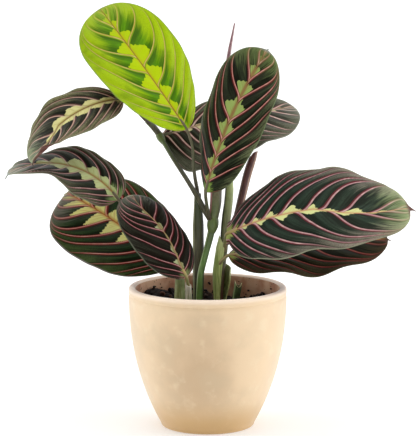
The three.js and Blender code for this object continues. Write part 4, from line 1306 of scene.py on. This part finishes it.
def blade_grid(leaf, bow):
    """The blade's middle surface as a grid from base to tip and from its left margin to its right
    one, with the share along and across of each point and its distance from the midrib."""
    even = np.linspace(0, 1, BLADE_ROWS + 1)
    s = (1 - ROW_CROWDING) * even + ROW_CROWDING * (0.5 - 0.5 * np.cos(np.pi * even))
    at, *lines = spine(leaf)
    reached = np.where(s > BODY_END, BODY_END + (s - BODY_END) * leaf["spike"], s)
    points, right, normal = (
        np.stack([np.interp(reached, at, part) for part in line.T], -1) for line in lines
    )
    share = np.linspace(0, 1, HALF_COLUMNS + 1) ** COLUMN_CROWDING
    columns = np.concatenate([-share[::-1], share[1:]])[None]
    push, first, last = bow
    aside = push * np.sin(np.pi * np.clip((s - first) / (last - first), 0, 1))[:, None]
    q = columns + aside * (1 - np.abs(columns))
    fold = math.radians(leaf["fold"])
    steps = np.linspace(0, 1, SECTION_STEPS + 1)
    x, y, out_to, rib_at = (np.zeros(q.shape) for _ in range(4))
    for side, sign in ((0, -1), (1, 1)):
        out_table, down_table, half = cross_section(leaf, side, s)
        a = np.abs(q)
        out = np.array([np.interp(row, steps, table) for row, table in zip(a, out_table)])
        down = np.array([np.interp(row, steps, table) for row, table in zip(a, down_table)])
        ripple = 2 * np.pi * leaf["waves"] * s[:, None] + leaf["phase"] + WAVE_SHIFT * sign
        wave = leaf["wave"] * a**2 * np.sin(ripple) * np.sin(np.pi * s[:, None])
        here = q * sign >= 0
        x = np.where(here, sign * (out * math.cos(fold) + down * math.sin(fold)), x)
        y = np.where(here, out * math.sin(fold) - down * math.cos(fold) + wave, y)
        out_to = np.where(here, q * half, out_to)
        rib_at = np.where(aside * sign >= 0, aside * half, rib_at)
    y = y - TIP_DROOP * (np.maximum(s - DROOP_FROM, 0) / (1 - DROOP_FROM))[:, None] ** 2
    middle = points[:, None] + x[..., None] * right[:, None] + y[..., None] * normal[:, None]
    return middle, s[:, None] + 0 * q, columns + 0 * q, np.abs(out_to - rib_at)


def vein_count(veins, side, s, across):
    """Number of the side vein at a point of the blade, counted from the base; whole on a vein."""
    a = np.abs(across)
    lean = veins[side + "_lean"]
    bending = lean * a + (1 - lean) * a**2.5
    hurrying = 1 - (1 - a) ** 2.2
    joining = JOIN * np.exp(-a / JOIN_WITHIN)
    low, high = np.full(s.shape, -1.0), np.full(s.shape, 1.0)
    for _ in range(HALVINGS):
        start = (low + high) / 2
        first, later = veins[side + "_sweep"]
        sweep = first + (later - first) * smoothstep(-0.05, FULL_SWEEP_AT, start)
        sweep = sweep + (TIP_SWEEP - later) * smoothstep(*TIP_SWEEP_OVER, start)
        late = smoothstep(*HURRY, start)
        forward = (1 - late) * bending + late * hurrying
        short = start + sweep * (1 - start) * forward - joining < s
        low, high = np.where(short, start, low), np.where(short, high, start)
    starts = veins[side]
    before = [starts[0] - k * BEFORE_FIRST for k in range(VEINS_BEFORE, 0, -1)]
    last = starts[-1] + AFTER_LAST * (1 - starts[-1])
    knots = np.array([*before, *starts, last, 1.0 + (1 - last)])
    fine = np.linspace(-1.2, 1.2, 1201)  # in steps of 0.002 of the length
    counts = np.interp(fine, knots, np.arange(len(knots))) + (RIGHT_NUMBERS if side == "right" else 0)
    blur = np.hanning(BLUR_STEPS)
    counts = np.convolve(np.pad(counts, BLUR_STEPS // 2, "edge"), blur / blur.sum(), "valid")
    counts = np.interp((low + high) / 2, fine, counts)
    return counts + WOBBLE * a * (np.sin(13 * s + 4 * a + starts[0] * 90) + 0.6 * np.sin(31 * s - 7 * a))


def lobe_reach(veins, look, side, counts, middle_counts, reach, s):
    """How far out the pale lobes go at each point of the blade, as a share of the half width. A lobe
    begins along its vein and ends, more or less square to the midrib, in a scalloped edge."""
    before = VEINS_BEFORE + (RIGHT_NUMBERS if side == "right" else 0)
    number = np.floor(counts - before)
    sizes = np.array([veins[side + "_lobes"][0], *veins[side + "_lobes"], 0, 0])
    size = sizes[np.clip(number.astype(int) + 1, 0, len(sizes) - 1)]
    begin, full, hold, end, square = look["lobe"]
    near = counts - before - number
    far = near + square * (middle_counts - counts)
    far = far + SCALLOP * np.cos(2 * np.pi * reach / SCALLOP_WIDTH + 3 * number)
    least = look["least"] * (1 - smoothstep(*FEATHER_ENDS, s))
    return least + (size - least) * smoothstep(begin, full, near) * (1 - smoothstep(hold, end, far))


def vein_gap(counts, middle):
    """Millimetres from one side vein to the next at each point of the blade."""
    rows = np.gradient(counts, axis=0) / np.linalg.norm(np.gradient(middle, axis=0), axis=-1)
    columns = np.gradient(counts, axis=1) / np.linalg.norm(np.gradient(middle, axis=1), axis=-1)
    return 1 / np.clip(np.hypot(rows, columns), 1 / GREATEST_GAP, 1 / LEAST_GAP)


def leaf_material(name, look, underside=None):
    """A maranta's upper face: velvet of tiny domed cells that drinks light beside the side veins and
    pales between them and towards the margin, there partly a painted sheen, a feather of pale lobes,
    and pink veins with dark red edges and painted highlights. The same pattern shows through faintly on
    the wine-red underside."""
    material, tree, shader = new_material(
        name, Roughness=look["roughness"], IOR=1.4, Specular_IOR_Level=look["specular"],
        Specular_Tint="#F6E6C8", Sheen_Weight=look["sheen"], Sheen_Roughness=0.4, Sheen_Tint="#D8DCC8",
    )
    place, pattern, count, across, along = own_places(tree)
    span = add_node(tree, "Attribute", attribute_name="span").outputs["Vector"]
    reach, gap, lobe = add_node(tree, "SeparateXYZ", {0: span}).outputs

    stretch = (TYPICAL_GAP / STREAK_WIDTH, TYPICAL_HALF / STREAK_LENGTH, 0)
    rays = add_node(tree, "VectorMath", {0: pattern, 1: stretch}, operation="MULTIPLY")
    streak = add_node(tree, "TexNoise", {"Vector": rays, "Scale": 1.0, "Detail": 2.0})
    jag = add_node(tree, "Math", {0: streak, 1: 0.5}, operation="SUBTRACT")
    hatch = look["hatch"]
    grain = every(VELVET_GRAIN)
    velvet = add_node(tree, "TexNoise", {"Vector": place, "Scale": grain, "Detail": 3.0})
    cloud = add_node(tree, "TexNoise", {"Vector": place, "Scale": every(18), "Detail": 2.0})
    glow = add_node(tree, "TexNoise", {"Vector": place, "Scale": every(7), "Detail": 2.0})

    # Velvet along the side veins, paler streaks between them, and the tone of the margin, partly its own
    # and partly a painted sheen
    from_vein = add_node(tree, "Math", {0: count, 1: 0.5}, operation="PINGPONG")
    paler = add_node(tree, "Math", {0: jag, 1: hatch, 2: from_vein}, operation="MULTIPLY_ADD")
    colour = lay_over(tree, look["dark"], (look["mid"], paler, 0.1, 0.62))
    outward = add_node(tree, "Math", {0: jag, 1: 0.8 * hatch, 2: across}, operation="MULTIPLY_ADD")
    outward = add_node(tree, "Math", {0: from_vein, 1: 0.35, 2: outward}, operation="MULTIPLY_ADD")
    outward = add_node(tree, "Math", {0: along, 1: look["drift"], 2: outward}, operation="MULTIPLY_ADD")
    # The margin's tone: partly its own paler colour and partly a painted sheen
    colour = lay_over(
        tree, colour,
        (look["light"], outward, *look["zone"]),
        (look["dark"], cloud, 0.5, 0.72, 0.4),
        (look["dark"], velvet, 0.45, 0.7, 0.5 * hatch),
    )

    # The feather of pale lobes with their ragged ends, and the burst of rays at the blade's base
    ragged = add_node(tree, "Math", {0: jag, 1: LOBE_TEETH, 2: lobe}, operation="MULTIPLY_ADD")
    inside = add_node(tree, "Math", {0: ragged, 1: across}, operation="SUBTRACT")
    pale = lay_over(
        tree, look["feather"],
        (look["inner"], reach, look["heart"], 0.4, 0.85),
        (look["inner"], streak, 0.5, 0.7, 0.45),
    )
    colour = lay_over(tree, colour, (pale, inside, 0.0, 0.02))
    burst = look["burst"]
    from_base = add_node(tree, "Math", {0: jag, 1: 1.5 * burst, 2: along}, operation="MULTIPLY_ADD")
    from_base = add_node(tree, "Math", {0: reach, 1: 0.012, 2: from_base}, operation="MULTIPLY_ADD")
    colour = lay_over(tree, colour, (look["base"], from_base, burst, 0.5 * burst, 0.85))

    # The side veins, thinner and fainter towards the margin, with painted highlights here and there.
    # Their dark edge is broader on the side of the blade's base.
    away = add_node(tree, "Math", {0: from_vein, 1: gap}, operation="MULTIPLY")
    wide = look["vein_width"]
    taper = {0: across, 1: -VEIN_TAPER * wide, 2: wide}
    thin = add_node(tree, "Math", taper, operation="MULTIPLY_ADD")
    ratio = add_node(tree, "Math", {0: away, 1: thin}, operation="DIVIDE")
    shift = add_node(tree, "Math", {0: EDGE_SHIFT * wide, 1: gap}, operation="DIVIDE")
    moved = add_node(tree, "Math", {0: count, 1: shift}, operation="ADD")
    beside = add_node(tree, "Math", {0: moved, 1: 0.5}, operation="PINGPONG")
    aside = add_node(tree, "Math", {0: beside, 1: gap}, operation="MULTIPLY")
    edge = add_node(tree, "Math", {0: aside, 1: thin}, operation="DIVIDE")
    faint = add_node(tree, "MapRange", {"Value": across, "From Min": 1.02, "From Max": 0.75})
    colour = lay_over(tree, colour, (look["vein_edge"], edge, look["edge"], 1.4, faint))
    # Painted highlights on the veins, where the noise is high
    vein = lay_over(tree, look["vein"], (look["glint"], glow, 0.46, 0.66, 0.7))
    colour = lay_over(
        tree, colour,
        (vein, ratio, 1.25, 0.6, faint),
        (pale, inside, 0.0, 0.02, look["cover"]),
    )

    # The tone before the apex, the margin's thin line, the midrib and the apex
    tipward = add_node(tree, "Math", {0: jag, 1: 0.3, 2: along}, operation="MULTIPLY_ADD")
    colour = lay_over(
        tree, colour,
        (look["tip"], tipward, 0.76, 1.0, 0.75),
        (look["margin"], across, look["rim"], 0.99),
    )
    taper = {0: along, 1: -RIB_TAPER, 2: RIB_HALF_WIDTH}
    rib = add_node(tree, "Math", taper, operation="MULTIPLY_ADD")
    from_rib = add_node(tree, "Math", {0: reach, 1: rib}, operation="DIVIDE")
    colour = lay_over(
        tree, colour,
        (look["midrib"], from_rib, 1.2, 0.6),
        (look["apex"], along, 0.94, 0.965),
    )
    if underside:
        covered = {SHARE: UNDERSIDE_COVER, FIRST: colour, SECOND: underside}
        colour = add_node(tree, "Mix", covered, data_type="RGBA")

    # Relief: sunken veins, fine rays and the velvet's grain
    groove = add_node(
        tree, "MapRange", {"Value": ratio, "From Min": 1.8, "From Max": 0.2, "To Max": -0.5},
        interpolation_type="SMOOTHSTEP",
    )
    relief = add_node(tree, "Math", {0: streak, 1: 0.5, 2: groove}, operation="MULTIPLY_ADD")
    relief = add_node(tree, "Math", {0: velvet, 1: 0.25, 2: relief}, operation="MULTIPLY_ADD")
    set_surface(tree, shader, colour, relief=relief, strength=0.6, depth=0.5)
    return material


class PRAYERPLANT_OT_leaves(bpy.types.Operator):
    """Unfold the nine open leaves with their veins, undersides and petioles"""

    bl_idname = "prayer_plant.leaves"
    bl_label = "Unfold Leaves"

    def execute(self, context):
        settings = context.scene.prayer_plant_leaf
        dark = stalk_material(
            "Thin Petiole", "#4E5038", "#666848", "#8C7A5C", edge_at=0.75, edge_width=0.1,
            top="#6A6048", foot="#54493A",
        )
        pale = stalk_material(
            "Pale Petiole", "#8A8A58", "#A6A06C", "#C0A878", edge_at=0.75, edge_width=0.1,
            top="#C0A868", foot="#7C6A4C",
        )
        slots = {row["node"]: row["material_slot"] for row in frame["record"]["subparts"]}
        for name in LEAVES:
            title = name.replace("_", " ").title()
            leaf = {**COMMON_LEAF, **LEAVES[name]}
            veins = {**COMMON_VEINS, **VEINS[name]}
            look = {**COMMON_LOOK, **LOOKS[name]}
            upper = leaf_material(f"{title} Velvet", look)
            lower = leaf_material(f"{title} Underside", look, underside=list(settings.underside))
            petiole = pale if name in PALE_PETIOLES else dark
            skin, spans = self.unfold(leaf, veins, look, settings)
            piece = skin.build(name.replace("leaf", "blade"), [upper, lower, petiole], slots[name], name)
            span = piece.data.attributes.new("span", "FLOAT_VECTOR", "POINT")
            span.data.foreach_set("vector", spans.astype(np.float32).ravel())
        return {"FINISHED"}

    def unfold(self, leaf, veins, look, settings):
        """The blade with its relief and its petiole, and for each point its distance from the midrib
        and from one side vein to the next, and how far out the pale lobes reach there."""
        middle, s, across, reach = blade_grid(leaf, veins["bow"])
        a = np.abs(across)
        on_left = across < 0
        counts = [vein_count(veins, side, s, across) for side in SIDES]
        own = np.where(on_left, *counts)
        gaps = np.where(on_left, *(vein_gap(count, middle) for count in counts))
        on_midrib = [vein_count(veins, side, s, 0 * across) for side in SIDES]
        lobes = np.where(
            on_left,
            *(
                lobe_reach(veins, look, side, count, middle_count, reach, s)
                for side, count, middle_count in zip(SIDES, counts, on_midrib)
            ),
        )

        # The pleats between the veins, the margin's ruffles, the gutter over the rib and the rib
        clear = smoothstep(0.02, 0.2, a) * (1 - smoothstep(0.8, 1, a)) * np.sin(np.pi * np.clip(s, 0, 1))
        ruffle = leaf["ruffle"] * smoothstep(0.6, 1, a) * smoothstep(0, 0.12, s)
        ruffle = ruffle * (1 - smoothstep(0.85, 0.97, s)) * smoothstep(3, 11, gaps)
        bulge = (settings.pleat / MM * clear + ruffle) * (np.sin(np.pi * own) ** 2 - 0.5)
        half = settings.thickness / MM / 2 * (1 - 0.5 * a**3)
        gutter = GUTTER_DEPTH * np.exp(-((reach / GUTTER_WIDTH) ** 2)) * (1 - s)
        keel = (TIP_KEEL + KEEL_DEPTH * (1 - s)) * np.exp(-((reach / KEEL_WIDTH) ** 2))

        skin = Skin()
        normal = facing(middle)
        upper = skin.put(middle + (half + bulge - gutter)[..., None] * normal)
        lower = skin.put(middle - (half - bulge + keel)[..., None] * normal)
        for count, part in zip(counts, (np.s_[:, : HALF_COLUMNS + 1], np.s_[:, HALF_COLUMNS:])):
            places = np.stack([count, a, s], -1)[part]
            skin.patch(upper[part], places, 0)
            skin.patch(lower[part], places, 1, flip=True)
        skin.sheet(upper, lower, np.stack([own, a, s], -1))
        spans = [np.stack([reach, gaps, lobes], -1).reshape(-1, 3)] * 2

        _, points, _, normals = spine(leaf)
        under = points[UNDER_BLADE] - PETIOLE_DROP * normals[UNDER_BLADE]
        before = len(skin.points)
        line = [*leaf["petiole"], leaf["base"], under]
        skin.tube(*rings(line, leaf["petiole_radii"], tip=1.0, sides=PETIOLE_SIDES), 2)
        spans.append(np.zeros((len(skin.points) - before, 3)))
        return skin, np.vstack(spans)


# The studio

TARGET = Vector((1.1, 0, 168.7)) * MM
FOCAL_PIXELS = 2250  # focal length in pixels of a frame whose long side has LONG_SIDE of them
LONG_SIDE = 436
SENSOR = 36
NEAREST, FARTHEST = 0.1, 20  # metres between which the camera sees
LIGHTS = [
    dict(name="left_softbox", place=(-1.7, 0.2, 0.7), size=1.4, power=7.5),
    dict(name="right_softbox", place=(1.7, 0.1, 0.7), size=1.4, power=14),
    dict(name="top_softbox", place=(0.1, -0.6, 2.1), size=1.6, power=13),
]
FLOOR_REACH = 9
FLOOR_SIDES = 96
NEAR_GLOW = (0.15, 0.34)  # how far from the pot, in metres, the floor begins to glow more, and from what
FAR_GLOW = (0.9, 0.62)  # and where it glows most
FRONT_GLOW = 0.2  # how bright the room is on the camera's side
BACK_GLOW = 1.12  # and behind the plant


class PRAYERPLANT_OT_stage(bpy.types.Operator):
    """Set up the pale floor, the soft lights and the camera"""

    bl_idname = "prayer_plant.stage"
    bl_label = "Set Stage"

    def execute(self, context):
        settings = context.scene.prayer_plant_studio
        scene = context.scene
        scene.view_settings.view_transform = "Standard"
        self.lay_floor(settings)
        world = bpy.data.worlds.new("White Studio")
        world.use_nodes = True
        tree = world.node_tree
        way = add_node(tree, "TexCoord").outputs["Generated"]
        depth = add_node(tree, "SeparateXYZ", {0: way}).outputs[1]
        glow = add_node(tree, "MapRange", {0: depth, 1: -1.0, 2: 0.5, 3: FRONT_GLOW, 4: BACK_GLOW})
        feed(tree, tree.nodes["Background"], {"Color": "#FFFFFF", "Strength": glow})
        scene.world = world
        for light in LIGHTS:
            lamp = bpy.data.lights.new(light["name"], "AREA")
            lamp.size = light["size"]
            lamp.energy = light["power"]
            holder = bpy.data.objects.new(light["name"], lamp)
            holder.location = light["place"]
            holder.rotation_euler = (TARGET - Vector(light["place"])).to_track_quat("-Z", "Y").to_euler()
            scene.collection.objects.link(holder)
        camera = bpy.data.cameras.new("camera")
        camera.sensor_width = SENSOR
        camera.lens = SENSOR * FOCAL_PIXELS / LONG_SIDE
        camera.clip_start, camera.clip_end = NEAREST, FARTHEST
        eye = bpy.data.objects.new("camera", camera)
        away = Vector((0, -math.cos(settings.elevation), math.sin(settings.elevation)))
        eye.location = TARGET + settings.distance * away
        eye.rotation_euler = (-away).to_track_quat("-Z", "Y").to_euler()
        scene.collection.objects.link(eye)
        scene.camera = eye
        return {"FINISHED"}

    def lay_floor(self, settings):
        """A wide round floor of white acrylic that is lit from below, level where the pot stands."""
        material, tree, shader = new_material(
            "White Acrylic Light Table", Roughness=0.9, Emission_Color="#FFFFFF"
        )
        place = add_node(tree, "TexCoord").outputs["Object"]
        grain = add_node(tree, "TexNoise", {"Vector": place, "Scale": every(2), "Detail": 2.0})
        colour = lay_over(tree, list(settings.floor), ("#D8D8D6", grain, 0.3, 0.7, 0.3))
        away = add_node(tree, "VectorMath", {0: place}, operation="LENGTH").outputs["Value"]
        (begin, least), (end, most) = NEAR_GLOW, FAR_GLOW
        lit = add_node(tree, "MapRange", {"Value": away, 1: begin, 2: end, 3: least, 4: most})
        feed(tree, shader, {"Base Color": colour, "Emission Strength": lit})
        turn = np.linspace(0, 2 * np.pi, FLOOR_SIDES + 1)[:-1]
        ring = FLOOR_REACH * np.stack([np.cos(turn), np.sin(turn), 0 * turn], -1)
        mesh = bpy.data.meshes.new("floor")
        mesh.from_pydata(ring.tolist(), [], [list(range(FLOOR_SIDES))])
        mesh.materials.append(material)
        floor = bpy.data.objects.new("floor", mesh)
        bpy.context.scene.collection.objects.link(floor)


class PRAYERPLANT_PT_panel(bpy.types.Panel):
    """Buttons and settings for the potted prayer plant"""

    bl_idname = "PRAYERPLANT_PT_panel"
    bl_label = "Potted Prayer Plant"
    bl_space_type = "VIEW_3D"
    bl_region_type = "UI"
    bl_category = "Prayer Plant"

    def draw(self, context):
        for operator in OPERATORS:
            self.layout.operator(operator.bl_idname)
        for name in SETTINGS:
            group = getattr(context.scene, name)
            box = self.layout.box()
            for field in group.__annotations__:
                box.prop(group, field)


OPERATORS = [
    PRAYERPLANT_OT_stage,
    PRAYERPLANT_OT_pot,
    PRAYERPLANT_OT_soil,
    PRAYERPLANT_OT_stalks,
    PRAYERPLANT_OT_sheaths,
    PRAYERPLANT_OT_spears,
    PRAYERPLANT_OT_leaves,
]
SETTINGS = {
    "prayer_plant_pot": PotSettings,
    "prayer_plant_soil": SoilSettings,
    "prayer_plant_leaf": LeafSettings,
    "prayer_plant_stalk": StalkSettings,
    "prayer_plant_studio": StudioSettings,
}
CLASSES = [*SETTINGS.values(), *OPERATORS, PRAYERPLANT_PT_panel]


def register():
    for cls in CLASSES:
        bpy.utils.register_class(cls)
    for name, group in SETTINGS.items():
        setattr(bpy.types.Scene, name, PointerProperty(type=group))


def unregister():
    for name in SETTINGS:
        delattr(bpy.types.Scene, name)
    for cls in reversed(CLASSES):
        bpy.utils.unregister_class(cls)


def main():
    """Registers the add-on and makes every piece."""
    register()
    bpy.ops.prayer_plant.stage()
    bpy.ops.prayer_plant.pot()
    bpy.ops.prayer_plant.soil()
    bpy.ops.prayer_plant.stalks()
    bpy.ops.prayer_plant.sheaths()
    bpy.ops.prayer_plant.spears()
    bpy.ops.prayer_plant.leaves()


if __name__ == "__main__":
    main()
